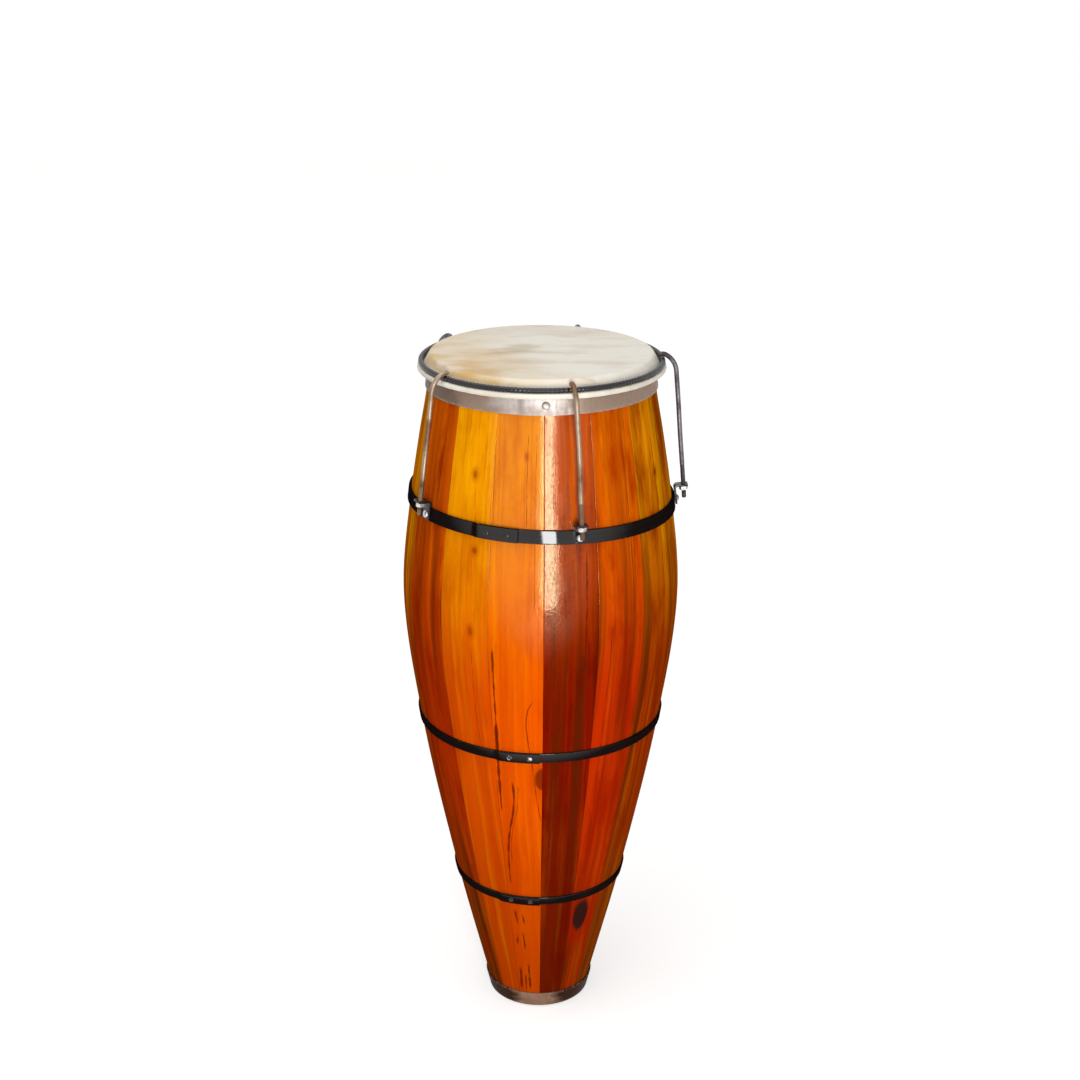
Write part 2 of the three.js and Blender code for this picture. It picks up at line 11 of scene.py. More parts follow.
import bmesh
import bpy
import numpy as np
from bpy.props import FloatProperty, FloatVectorProperty, IntProperty, PointerProperty
from mathutils import Matrix, Vector


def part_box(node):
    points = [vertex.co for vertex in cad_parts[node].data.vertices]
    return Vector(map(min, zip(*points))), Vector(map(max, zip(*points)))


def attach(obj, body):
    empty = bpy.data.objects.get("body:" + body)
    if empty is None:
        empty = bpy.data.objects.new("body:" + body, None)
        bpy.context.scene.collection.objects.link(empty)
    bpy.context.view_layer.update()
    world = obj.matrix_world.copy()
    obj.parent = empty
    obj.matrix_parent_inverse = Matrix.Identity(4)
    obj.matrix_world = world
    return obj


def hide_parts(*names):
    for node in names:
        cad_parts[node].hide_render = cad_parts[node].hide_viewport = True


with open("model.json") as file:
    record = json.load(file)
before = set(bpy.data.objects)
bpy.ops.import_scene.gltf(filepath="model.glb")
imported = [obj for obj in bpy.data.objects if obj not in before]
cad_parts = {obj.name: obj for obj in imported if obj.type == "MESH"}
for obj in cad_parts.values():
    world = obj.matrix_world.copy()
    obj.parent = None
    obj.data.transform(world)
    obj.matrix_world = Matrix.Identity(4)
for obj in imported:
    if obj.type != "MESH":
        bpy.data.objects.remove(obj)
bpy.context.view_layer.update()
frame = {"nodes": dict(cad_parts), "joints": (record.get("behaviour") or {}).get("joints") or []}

bl_info = {
    "name": "Atabaque",
    "version": (1, 0, 0),
    "blender": (4, 5, 0),
    "location": "3D View > Sidebar > Atabaque",
    "description": "Builds a tall stave drum with a hooked rawhide head",
    "category": "Add Mesh",
}

MM = 0.001
TURN = 2 * math.pi
# The gap between fitted solids of the CAD part, and the smaller one between the pieces here
FIT = 0.3 * MM
SNUG = 0.05 * MM
SHARP_ANGLE = math.radians(38)
BRACKET_THICKNESS = 2.5 * MM
CROWN_ROD_RADIUS = 3.25 * MM
FLESH_ROD_RADIUS = 2 * MM

# Hoops from the foot up: sizes in millimetres, the bearing of the lap and the tilt to the right in
# degrees, and the number of rivets in the lap
Hoop = namedtuple("Hoop", "width thickness lap_bearing tilt rivets slot")
HOOPS = {
    "foot": Hoop(22, 2, 180, 0, 2, "bare_steel"),
    "lower": Hoop(11.5, 2, -12, 0, 2, "black_paint"),
    "middle": Hoop(13, 2, -9, 0, 2, "black_paint"),
    "tension": Hoop(16.5, 3, -18, 1.9, 2, "black_paint"),
    "mouth": Hoop(24.5, 2, 2, 0, 1, "bare_steel"),
}
STATIONS = ("front", "right", "rear_right", "rear_left", "left")

# The wood of each stave in turn, from the joint at the front round to the right
STAVE_WOODS = (
    "oxblood", "red", "russet", "russet", "orange", "brown", "amber", "russet",
    "red", "orange", "oxblood", "amber", "russet", "brown", "amber", "orange",
)
# Dark lines along the grain of a stave: half width as a share of the stave's half width, and the points
# that the line runs through, as height and place across the stave from -1 to 1
STAVE_CRACKS = {
    1: (
        (0.03, ((0.03, -0.7), (0.4, -0.62), (0.86, -0.66))),
        (0.035, ((0.1, 0.6), (0.5, 0.5), (0.7, 0.58))),
    ),
    2: (
        (0.012, ((0.45, 0.4), (0.62, 0.5), (0.86, 0.38))),
        (0.014, ((0.22, -0.5), (0.45, -0.56), (0.6, -0.46))),
    ),
    3: ((0.014, ((0.03, -0.4), (0.3, -0.32), (0.52, -0.38))), (0.014, ((0.5, 0.25), (0.82, 0.36)))),
    5: ((0.012, ((0.22, 0.0), (0.5, 0.14), (0.8, 0.1))), ),
    7: ((0.014, ((0.05, -0.5), (0.3, -0.36), (0.6, -0.4))), (0.01, ((0.52, 0.5), (0.86, 0.46)))),
    9: ((0.014, ((0.12, 0.4), (0.4, 0.3), (0.74, 0.2))), ),
    12: ((0.012, ((0.3, -0.3), (0.6, -0.16), (0.86, -0.2))), ),
    14: ((0.014, ((0.05, -0.3), (0.4, -0.16), (0.7, -0.2))), (0.012, ((0.28, 0.36), (0.62, 0.42)))),
    15: (
        (0.009, ((0.425, 0.44), (0.455, 0.37), (0.486, 0.35), (0.57, 0.33))),
        (0.008, ((0.7, 0.39), (0.77, 0.24))),
    ),
    16: (
        (0.016, (
            (0.317, 0.98), (0.374, 0.69), (0.408, 0.57), (0.452, 0.39), (0.478, 0.37), (0.506, 0.7),
        )),
        (0.05, ((0.214, -0.75), (0.28, -0.67), (0.353, -0.26), (0.385, -0.3))),
        (0.014, ((0.25, -0.56), (0.3, -0.44), (0.345, -0.1), (0.382, -0.06))),
        (0.065, ((0.33, -0.87), (0.4, -0.86), (0.47, -0.84))),
        (0.035, ((0.42, -0.85), (0.5, -0.83), (0.575, -0.85))),
        (0.01, ((0.72, 0.36), (0.78, 0.34), (0.84, 0.37))),
        (0.008, ((0.62, 0.7), (0.72, 0.66), (0.84, 0.72))),
        (0.07, ((0.106, -0.74), (0.13, -0.6))), (0.07, ((0.142, -0.5), (0.176, -0.68))),
        (0.06, ((0.144, -0.06), (0.17, -0.2))), (0.08, ((0.098, -0.1), (0.136, -0.24))),
        (0.12, ((0.025, -0.73), (0.072, -0.64))), (0.1, ((0.02, -0.3), (0.06, -0.24))),
        (0.09, ((0.025, 0.12), (0.08, 0.04))),
    ),
}
# Knots of a stave: place across it, height, half width, half height and darkness
STAVE_KNOTS = {
    2: ((-0.26, 0.155, 0.0148, 0.032, 0.95), ),
    3: ((0.38, 0.768, 0.0035, 0.006, 0.6), ),
    6: ((0.2, 0.56, 0.006, 0.011, 0.7), ),
    9: ((-0.3, 0.67, 0.006, 0.011, 0.8), (0.4, 0.25, 0.005, 0.01, 0.7)),
    12: ((0.1, 0.5, 0.006, 0.012, 0.8), ),
    15: (
        (0.2, 0.782, 0.003, 0.005, 0.45), (0.4, 0.691, 0.0036, 0.005, 0.5),
        (0.31, 0.589, 0.0034, 0.006, 0.4),
    ),
    16: ((0.99, 0.387, 0.0095, 0.017, 0.75), (0.31, 0.809, 0.002, 0.0045, 0.35)),
}


def linear(value):
    """The light that a colour channel from 0 to 255 stands for."""
    share = value / 255
    return share / 12.92 if share <= 0.04045 else ((share + 0.055) / 1.055) ** 2.4


def colour(name, description, *channels):
    default = tuple(linear(channel) for channel in channels)
    return FloatVectorProperty(
        name=name, description=description, subtype="COLOR", size=3, min=0, max=1, default=default,
    )


def number(name, description, default, **kind):
    return FloatProperty(name=name, description=description, default=default, **kind)


def length(name, description, millimetres):
    return number(name, description, millimetres * MM, min=0, unit="LENGTH")


def angle(name, description, degrees):
    return number(name, description, math.radians(degrees), unit="ROTATION")


class StaveSettings(bpy.types.PropertyGroup):
    """Sizes and wood colours of the shell's staves."""

    joint_bearing: angle("Joint bearing", "Bearing of the joint at the front", 1.25)
    thickness: length("Thickness", "Thickness of a stave at its middle", 14)
    mouth_bevel: length("Mouth bevel", "Bevel under the hide at the mouth", 3)
    joint_gap: length("Joint gap", "Open width of the line between two staves", 0.16)
    joint_round: length("Joint rounding", "Width over which a stave's edge rounds off", 0.5)
    joint_depth: length("Joint depth", "Depth of the rounded edge at the joint", 0.15)
    planing: length("Hand planing", "Unevenness left by the plane", 0.4)
    amber_belly: colour("Amber, belly", "Amber wood at the belly", 218, 79, 2)
    amber_crown: colour("Amber, crown", "Amber wood near the mouth", 246, 159, 3)
    orange_belly: colour("Orange, belly", "Orange wood at the belly", 231, 86, 1)
    orange_crown: colour("Orange, crown", "Orange wood near the mouth", 241, 142, 3)
    oxblood_belly: colour("Oxblood, belly", "Darkest wood at the belly", 126, 17, 1)
    oxblood_crown: colour("Oxblood, crown", "Darkest wood near the mouth", 196, 73, 3)
    red_belly: colour("Red, belly", "Red wood at the belly", 192, 45, 2)
    red_crown: colour("Red, crown", "Red wood near the mouth", 226, 100, 3)
    russet_belly: colour("Russet, belly", "Russet wood at the belly", 168, 54, 2)
    russet_crown: colour("Russet, crown", "Russet wood near the mouth", 228, 130, 5)
    brown_belly: colour("Brown, belly", "Brown wood at the belly", 178, 46, 2)
    brown_crown: colour("Brown, crown", "Brown wood near the mouth", 212, 88, 3)
    crack_colour: colour("Crack", "Dark red-brown of the cracks", 100, 26, 4)
    moss: colour("Moss", "Brown of the darker woods near the foot", 124, 66, 11)
    olive: colour("Olive", "Dark olive-brown figure in the red woods", 76, 32, 3)
    joint_colour: colour("Joint", "Dirt and glue in the joints", 34, 12, 6)
    knot_colour: colour("Knot", "Pores and the hearts of large knots", 38, 24, 21)


class HoopSettings(bpy.types.PropertyGroup):
    """Sizes and finishes of the hoops and their rivets."""

    edge_round: length("Edge rounding", "Radius on the band's long edges", 0.5)
    lap_length: length("Lap length", "Length over which a band lies on itself", 50)
    lap_step: length("Lap step", "Length over which a band climbs onto itself", 9)
    dents: length("Dents", "Depth of the dents from hammering", 0.35)
    rivet_radius: length("Rivet radius", "Radius of a lap rivet's head", 3.4)
    rivet_height: length("Rivet height", "Height of a lap rivet's head", 1.6)
    mouth_rivet_radius: length("Mouth rivet radius", "Radius of the mouth hoop's rivet head", 5)
    bracket_rivet_radius: length("Bracket rivet radius", "Radius of a bracket rivet's head", 4.6)
    bracket_rivet_height: length("Bracket rivet height", "Height of a bracket rivet's head", 2.6)
    rivet_shank: length("Rivet shank", "Radius of a rivet below its head", 1.8)
    # The steel colour also paints the highlight on the front of the mouth hoop.
    steel: colour("Steel", "Bare galvanised mouth hoop", 184, 175, 170)
    stain: colour("Stain", "Brown stain on the mouth hoop", 150, 128, 112)
    # The foot steel is the colour of the painted highlight on the foot hoop's front, and of its rivets.
    foot_steel: colour("Foot steel", "Worn front of the foot hoop", 152, 120, 98)
    foot_stain: colour("Foot stain", "Brown stain on the foot hoop", 52, 30, 20)
    paint: colour("Paint", "Black paint of the bands and brackets", 20, 15, 14)
    worn: colour("Worn paint", "Steel that shows where the paint has worn", 128, 120, 114)
    zinc: colour("Zinc", "Plated rivets and nuts", 224, 220, 218)


class HeadSettings(bpy.types.PropertyGroup):
    """Sizes and finishes of the hide and its rings."""

    hide_thickness: length("Hide thickness", "Thickness of the rawhide", 1.25)
    hide_diameter: length("Hide diameter", "Diameter of the round hide before it was drawn on", 350)
    roll_end: angle("Roll end", "Angle from level at which the hide's roll ends", 110)
    pleat_depth: length("Pleat depth", "Depth of the small pleats in the hide's roll", 0.3)
    pleat_count: IntProperty(name="Pleats", description="Pleats round the roll", default=57, min=3)
    rib_pitch: length("Rib pitch", "Distance between the ribs of the crown ring", 5)
    rib_height: length("Rib height", "Height of the ribs above the rod's core", 0.45)
    hide: colour("Hide", "Cream of the hide", 244, 238, 225)
    tan: colour("Tan", "Grey-tan streaks of the hide", 190, 172, 142)
    ochre: colour("Ochre", "Ochre along the front edge", 214, 168, 84)
    iron: colour("Iron", "Black iron of the crown ring", 20, 15, 21)


class HookSettings(bpy.types.PropertyGroup):
    """Sizes and finishes of the tension hooks, their nuts and their brackets."""

    rod_radius: length("Rod radius", "Radius of the rod", 3)
    tail: length("Tail", "Length of the rod below its nut", 11)
    thread_length: length("Thread length", "Length of the thread from the rod's lower end", 46)
    thread_pitch: length("Thread pitch", "Distance from one thread to the next", 1)
    thread_depth: length("Thread depth", "Depth of the thread", 0.45)
    hand_bend: length("Hand bend", "How far a rod strays from straight", 0.8)
    clearance: length("Clearance", "Room inside the hook round the crown ring", 1.8)
    shoulder_radius: length("Shoulder radius", "Radius of the wide bend outside the ring", 25.5)
    wrap: angle("Wrap", "Angle of the bend over the ring", 125)
    nut_wall: length("Nut wall", "Thickness of the nut at its flats", 2)
    nut_height: length("Nut height", "Height of the nut", 5)
    bracket_edge: length("Bracket edge", "Rounding of the bracket's cut edges", 0.35)
    steel: colour("Steel", "Dull steel of the front rods", 164, 144, 122)
    rust: colour("Rust", "Brown rust on the front rods", 110, 72, 48)
    # The darker steel and stain of the other rods are a shaded copy of the front rods' colours: painted
    # shade.
    dark_steel: colour("Dark steel", "Darker steel of the other rods", 118, 114, 124)
    shaded_rust: colour("Dark rust", "Dark stain on the other rods", 56, 44, 46)


class StageSettings(bpy.types.PropertyGroup):
    """Camera, floor and lights."""

    camera_distance: length("Camera distance", "How far the camera stands in front", 2239.4)
    camera_left: length("Camera left", "How far the camera stands to the left of the drum", 1.1)
    camera_height: length("Camera height", "Height of the camera above the floor", 1461.3)
    camera_pitch: angle("Camera pitch", "How far the camera looks down", 19.886)
    camera_roll: angle("Camera roll", "How far the camera leans", 0.29)
    lens: number("Lens", "Focal length", 62.1, min=1, unit="CAMERA")
    window_power: number("Window", "Tall soft light in front", 28, min=0, unit="POWER")
    top_power: number("Top", "Soft light above", 19, min=0, unit="POWER")
    surround: number("Surround", "Light from all round", 0.36, min=0)
    floor: colour("Floor", "Pale floor", 236, 235, 233)
    near_fill: number("Near fill", "White added to the floor by the drum", 0.56, min=0)
    far_fill: number("Far fill", "White added to the floor far off", 0.7, min=0)


class Field:
    """A number that a node tree works out, so that a formula reads as one."""

    def __init__(self, nodes, socket):
        self.nodes = nodes
        self.socket = socket

    def combine(self, operation, other):
        return self.nodes.math(operation, self, other)

    def __rsub__(self, other):
        return self.nodes.math("SUBTRACT", other, self)

    __add__ = __radd__ = partialmethod(combine, "ADD")
    __sub__ = partialmethod(combine, "SUBTRACT")
    __mul__ = __rmul__ = partialmethod(combine, "MULTIPLY")
    __truediv__ = partialmethod(combine, "DIVIDE")
    __pow__ = partialmethod(combine, "POWER")
    __mod__ = partialmethod(combine, "FLOORED_MODULO")


class Nodes:
    """Short calls that add nodes to a tree. An input is a number, a colour, a field or a socket."""

    def __init__(self, tree):
        self.tree = tree

    def add(self, kind, inputs=(), **settings):
        node = self.tree.nodes.new(kind)
        for name, value in settings.items():
            setattr(node, name, value)
        for key, value in dict(inputs).items():
            self.fill(node.inputs[key], value)
        return node

    def fill(self, socket, value):
        value = getattr(value, "socket", value)
        if isinstance(value, bpy.types.NodeSocket):
            self.tree.links.new(value, socket)
        elif socket.type == "RGBA":
            socket.default_value = (*tuple(value)[:3], 1)
        else:
            socket.default_value = value

    def field(self, kind, inputs=(), output=0, **settings):
        return Field(self, self.add(kind, inputs, **settings).outputs[output])

    def math(self, operation, *values):
        return self.field("ShaderNodeMath", enumerate(values), operation=operation)

    def sine(self, value):
        return self.math("SINE", value)

    def cosine(self, value):
        return self.math("COSINE", value)

    def clamp(self, value, low=0.0, high=1.0):
        return self.math("MINIMUM", self.math("MAXIMUM", value, low), high)

    def distance(self, x, y):
        return self.math("SQRT", x * x + y * y)

    def vector(self, x, y, z):
        return self.field("ShaderNodeCombineXYZ", enumerate((x, y, z)))

    def vector_math(self, operation, *vectors, **scale):
        inputs = {**dict(enumerate(vectors)), **scale}
        return self.field("ShaderNodeVectorMath", inputs, operation=operation)

    def parts(self, vector):
        node = self.add("ShaderNodeSeparateXYZ", {0: vector})
        return tuple(Field(self, socket) for socket in node.outputs)

    def smooth(self, value, low, high, start=0.0, end=1.0):
        """Eases from start to end as the value goes from low to high."""
        inputs = {"Value": value, "From Min": low, "From Max": high, "To Min": start, "To Max": end}
        return self.field("ShaderNodeMapRange", inputs, interpolation_type="SMOOTHSTEP")

    def noise(self, place, scale=1.0, detail=2.0, roughness=0.5):
        vector = self.vector(*place)
        inputs = {"Vector": vector, "Scale": scale, "Detail": detail, "Roughness": roughness}
        return self.field("ShaderNodeTexNoise", inputs)

    def layers(self, tone, *coats):
        """A tone with coats laid over it in turn, each a share and a colour."""
        for share, coat in coats:
            tone = self.field("ShaderNodeMix", {0: share, 6: tone, 7: coat}, 2, data_type="RGBA")
        return tone

    def attribute(self, name):
        return self.parts(self.add("ShaderNodeAttribute", attribute_name=name).outputs["Vector"])

    def place(self):
        """The place on the object, for patterns in space."""
        return self.parts(self.add("ShaderNodeTexCoord").outputs["Object"])

    def facing(self):
        """None where a surface faces the viewer, and full where it is seen edge-on."""
        return self.field("ShaderNodeLayerWeight", {"Blend": 0.5}, 1)

    def bump(self, height, distance):
        return self.field("ShaderNodeBump", {"Height": height, "Distance": distance})


class Finish(Nodes):
    """The nodes of a new material, with its uniform values on the shader's own sockets."""

    def __init__(self, name, **values):
        self.material = bpy.data.materials.new(name)
        self.material.use_nodes = True
        super().__init__(self.material.node_tree)
        self.patterned(**values)

    def patterned(self, **values):
        """The material, with values or patterns on sockets of its shader."""
        sockets = self.tree.nodes["Principled BSDF"].inputs
        for name, value in values.items():
            self.fill(sockets[name.replace("_", " ")], value)
        return self.material


def toned(tone, *shares):
    """A colour with its channels multiplied, by one share or by one each."""
    return tuple(min(1, channel * share) for channel, share in zip(tone, shares * 3))


def between(first, second, share):
    """A colour that lies a share of the way from one to another."""
    return tuple(a + (b - a) * share for a, b in zip(first, second))


def natural_spline(x, y):
    """A smooth line with free ends through points, as a function."""
    steps = np.diff(x)
    rises = np.diff(y) / steps
    count = len(x)
    bends = np.eye(count)
    change = np.zeros(count)
    for i in range(1, count - 1):
        bends[i, i - 1:i + 2] = steps[i - 1], 2 * (steps[i - 1] + steps[i]), steps[i]
        change[i] = 6 * (rises[i] - rises[i - 1])
    curve = np.linalg.solve(bends, change)

    def at(value):
        i = np.clip(np.searchsorted(x, value) - 1, 0, count - 2)
        run = value - x[i]
        start = rises[i] - steps[i] * (2 * curve[i] + curve[i + 1]) / 6
        twist = (curve[i + 1] - curve[i]) / (6 * steps[i])
        return y[i] + run * (start + run * (curve[i] / 2 + run * twist))

    return at


def node_points(name):
    return np.array([vertex.co for vertex in frame["nodes"][name].data.vertices], float)


def shell_outline():
    """The shell's outer radius as a function of height, read from a stave below its bevelled end."""
    points = node_points("stave_01")
    heights = np.round(points[:, 2], 5)
    radii = np.hypot(points[:, 0], points[:, 1])
    levels = np.unique(heights)[:-1]
    return natural_spline(levels, np.array([radii[heights == level].max() for level in levels]))


shell_radius = shell_outline()
shell_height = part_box("stave_01")[1].z


def ring_centre(name, rod_radius):
    """Radius and height of the middle of a ring's rod."""
    points = node_points(name)
    reach = np.hypot(points[:, 0], points[:, 1]).max()
    return reach - rod_radius, (points[:, 2].min() + points[:, 2].max()) / 2


def hoop_line(name):
    """Outer radius of a hoop at its middle, its middle height, and its slope (radius by height)."""
    hoop = HOOPS[name]
    width = hoop.width * MM
    low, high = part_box(f"{name}_hoop")
    middle = (low.z + high.z) / 2
    below, above = (shell_radius(middle + side * width / 2) for side in (-1, 1))
    return (below + above) / 2 + FIT + hoop.thickness * MM, middle, (above - below) / width


def on_hoop(name, bearing, out):
    """A point a distance out from the middle of a hoop's face, and the direction out of the face."""
    radius, height, slope = hoop_line(name)
    tilt = math.radians(HOOPS[name].tilt)
    lift = -math.tan(tilt) * radius * math.sin(bearing)
    reach = radius + slope * lift + out
    outward = Vector((math.sin(bearing), -math.cos(bearing), -slope)).normalized()
    return Vector((reach * math.sin(bearing), -reach * math.cos(bearing), height + lift)), outward


def geometry_tree(name, numbers):
    """A geometry tree with named number inputs and a material, and its inputs as fields."""
    tree = bpy.data.node_groups.new(name, "GeometryNodeTree")
    tree.interface.new_socket("Geometry", in_out="INPUT", socket_type="NodeSocketGeometry")
    for number in numbers:
        tree.interface.new_socket(number, in_out="INPUT", socket_type="NodeSocketFloat")
    tree.interface.new_socket("Material", in_out="INPUT", socket_type="NodeSocketMaterial")
    tree.interface.new_socket("Geometry", in_out="OUTPUT", socket_type="NodeSocketGeometry")
    nodes = Nodes(tree)
    given = nodes.add("NodeGroupInput")
    return nodes, {socket.name: Field(nodes, socket) for socket in given.outputs if socket.name}


def close_tree(nodes, given, geometry):
    """Ends a geometry tree in plain mesh with its material."""
    mesh = nodes.field("GeometryNodeRealizeInstances", {"Geometry": geometry})
    painted = nodes.field("GeometryNodeSetMaterial", {"Geometry": mesh, "Material": given["Material"]})
    nodes.add("NodeGroupOutput", {"Geometry": painted})
    return nodes.tree


def swept_tube(nodes, around, rows, capped=True):
    """A tube to be shaped: its mesh, each point's number round it, and its share of the way along."""
    inputs = {"Vertices": around, "Side Segments": rows, "Radius": 1.0, "Depth": 1.0}
    tube = nodes.field("GeometryNodeMeshCylinder", inputs, fill_type="NGON" if capped else "NONE")
    index = nodes.field("GeometryNodeInputIndex")
    number = index % around
    share = 1.0 - nodes.math("FLOOR", (index + 0.5) / around) / rows
    return tube, number, share


def store(nodes, geometry, name, x, y=0.0, z=0.0):
    inputs = {"Geometry": geometry, "Name": name, "Value": nodes.vector(x, y, z)}
    return nodes.field(
        "GeometryNodeStoreNamedAttribute", inputs, data_type="FLOAT_VECTOR", domain="POINT",
    )


def shape(nodes, geometry, place):
    return nodes.field("GeometryNodeSetPosition", {"Geometry": geometry, "Position": place})


def turned_place(nodes, radius, bearing, height):
    return nodes.vector(radius * nodes.sine(bearing), radius * nodes.cosine(bearing) * -1, height)


def plain_mesh(points, edges=(), faces=(), material=None):
    mesh = bpy.data.meshes.new("plain")
    mesh.from_pydata([tuple(point) for point in points], list(edges), list(faces))
    if material:
        mesh.materials.append(material)
    return mesh


def line_mesh(points):
    return plain_mesh(points, edges=[(i, i + 1) for i in range(len(points) - 1)])


def grow(tree, settings, values, source=None):
    """The plain mesh that a geometry tree makes.

    An input that isn't among the values takes the setting of the same name.
    """
    holder = bpy.data.objects.new("holder", source or bpy.data.meshes.new("holder"))
    bpy.context.scene.collection.objects.link(holder)
    modifier = holder.modifiers.new("shape", "NODES")
    modifier.node_group = tree
    inputs = {item.name: getattr(settings, item.identifier) for item in settings.bl_rna.properties}
    inputs.update(values)
    for item in tree.interface.items_tree:
        if item.in_out == "INPUT" and item.name != "Geometry":
            modifier[item.identifier] = inputs[item.name]
    depsgraph = bpy.context.evaluated_depsgraph_get()
    evaluated = holder.evaluated_get(depsgraph)
    mesh = bpy.data.meshes.new_from_object(evaluated, preserve_all_data_layers=True, depsgraph=depsgraph)
    holder.modifiers.clear()
    base = holder.data
    bpy.data.objects.remove(holder)
    bpy.data.meshes.remove(base)
    return mesh


def add_piece(name, mesh, body, slot, *nodes):
    """Links a finished mesh as a piece that rides on a body and stands for CAD nodes."""
    mesh.name = name
    mesh.shade_smooth()
    mesh.set_sharp_from_angle(angle=SHARP_ANGLE)
    piece = bpy.data.objects.new(name, mesh)
    bpy.context.scene.collection.objects.link(piece)
    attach(piece, body)
    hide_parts(*nodes)
    return piece


# Staves

STAVE_COLUMNS = 30
STAVE_ROWS = 220
STAVE_SPAN = TURN / len(STAVE_WOODS)
OUTLINE_LEVELS = 160
SEED_STEP = 1.7
PALE_WOODS = ("amber", "orange")
RED_WOODS = ("oxblood", "red")
VARNISH_TINT = (1.0, 0.76, 0.46)
# Heights between which the belly's tone turns to the foot's and to the crown's
FOOT_FALL = (0.42, 0.04)
CROWN_RISE = (0.48, 0.82)
CRACK_FADE = 0.012
LARGE_KNOT = 0.9


def stave_tree():
    """One stave: round outside with eased edges, flat inside, along the shell's outline."""
    nodes, given = geometry_tree("stave", (
        "Start bearing", "Span", "Thickness", "Joint gap", "Joint rounding", "Joint depth",
        "Mouth height", "Mouth bevel", "Hand planing", "Seed",
    ))
    tube, number, share = swept_tube(nodes, 2 * STAVE_COLUMNS, STAVE_ROWS)
    outline = nodes.add("GeometryNodeMeshToCurve", {"Mesh": given["Geometry"]}).outputs[0]
    sample = nodes.add("GeometryNodeSampleCurve", {"Curves": outline, "Factor": share}, mode="FACTOR")
    shell, _, height = nodes.parts(sample.outputs["Position"])
    inside = nodes.math("GREATER_THAN", number, STAVE_COLUMNS - 0.5)
    step = (number - inside * STAVE_COLUMNS) * (2 / (STAVE_COLUMNS - 1)) - 1.0
    side = nodes.sine(step * (math.pi / 2)) * (1.0 - inside * 2)
    half = given["Span"] * 0.5 - given["Joint gap"] * 0.5 / shell
    turn = side * half
    edge = (1.0 - nodes.math("ABSOLUTE", side)) * half * shell
    across = turn * shell
    near = nodes.clamp(1.0 - edge / given["Joint rounding"])
    eased = given["Joint depth"] * (1.0 - nodes.math("SQRT", 1.0 - near * near))
    bevel = nodes.math("MAXIMUM", height - given["Mouth height"] + given["Mouth bevel"], 0.0)
    planed = nodes.noise((across * 45, height * 9, given["Seed"] * 7.3)) * given["Hand planing"]
    outer = shell - eased - bevel - planed
    inner = (shell - given["Thickness"]) / nodes.cosine(turn)
    radius = outer + (inner - outer) * inside
    bearing = given["Start bearing"] + given["Span"] * 0.5 + turn
    marked = store(nodes, tube, "grain", across, height, edge)
    marked = store(nodes, marked, "side", side)
    return close_tree(nodes, given, shape(nodes, marked, turned_place(nodes, radius, bearing, height)))


def line_place(nodes, height, path):
    """Place across a stave, at a height, of a line through points of height and place."""
    low, high = path[0][0], path[-1][0]
    node = nodes.add("ShaderNodeFloatCurve", {"Value": (height - low) * (1 / (high - low))})
    curve = node.mapping.curves[0]
    for _ in path[2:]:
        curve.points.new(0.5, 0.5)
    for point, (level, place) in zip(curve.points, path):
        point.location = ((level - low) / (high - low), (place + 1) / 2)
    node.mapping.update()
    return Field(nodes, node.outputs[0]) * 2 - 1.0


def crack_mask(nodes, side, height, seed, half, path):
    """How much a point lies in a ragged dark line that fades out at both ends."""
    low, high = path[0][0], path[-1][0]
    ragged = nodes.noise((side * 2, height * 130, seed), detail=4, roughness=0.6)
    away = nodes.math("ABSOLUTE", side - line_place(nodes, height, path) + (ragged - 0.5) * 0.06)
    swell = nodes.noise((0.0, height * 50, seed + 8))
    width = nodes.smooth(swell, 0.35, 0.65, 0.6 * half, 1.4 * half)
    start = nodes.smooth(height, low, low + CRACK_FADE)
    end = nodes.smooth(height, high - CRACK_FADE, high, 1.0, 0.0)
    return nodes.smooth(away / width, 0.5, 1.3, 1.0, 0.0) * start * end


def knot_distance(nodes, side, height, place, level, half_width, half_height):
    """Distance from the middle of a knot, 1 at its rim."""
    stave_half = float(shell_radius(level)) * STAVE_SPAN / 2
    across = (side - place) * (stave_half / half_width)
    along = (height - level) * (1 / half_height)
    return nodes.distance(across, along)


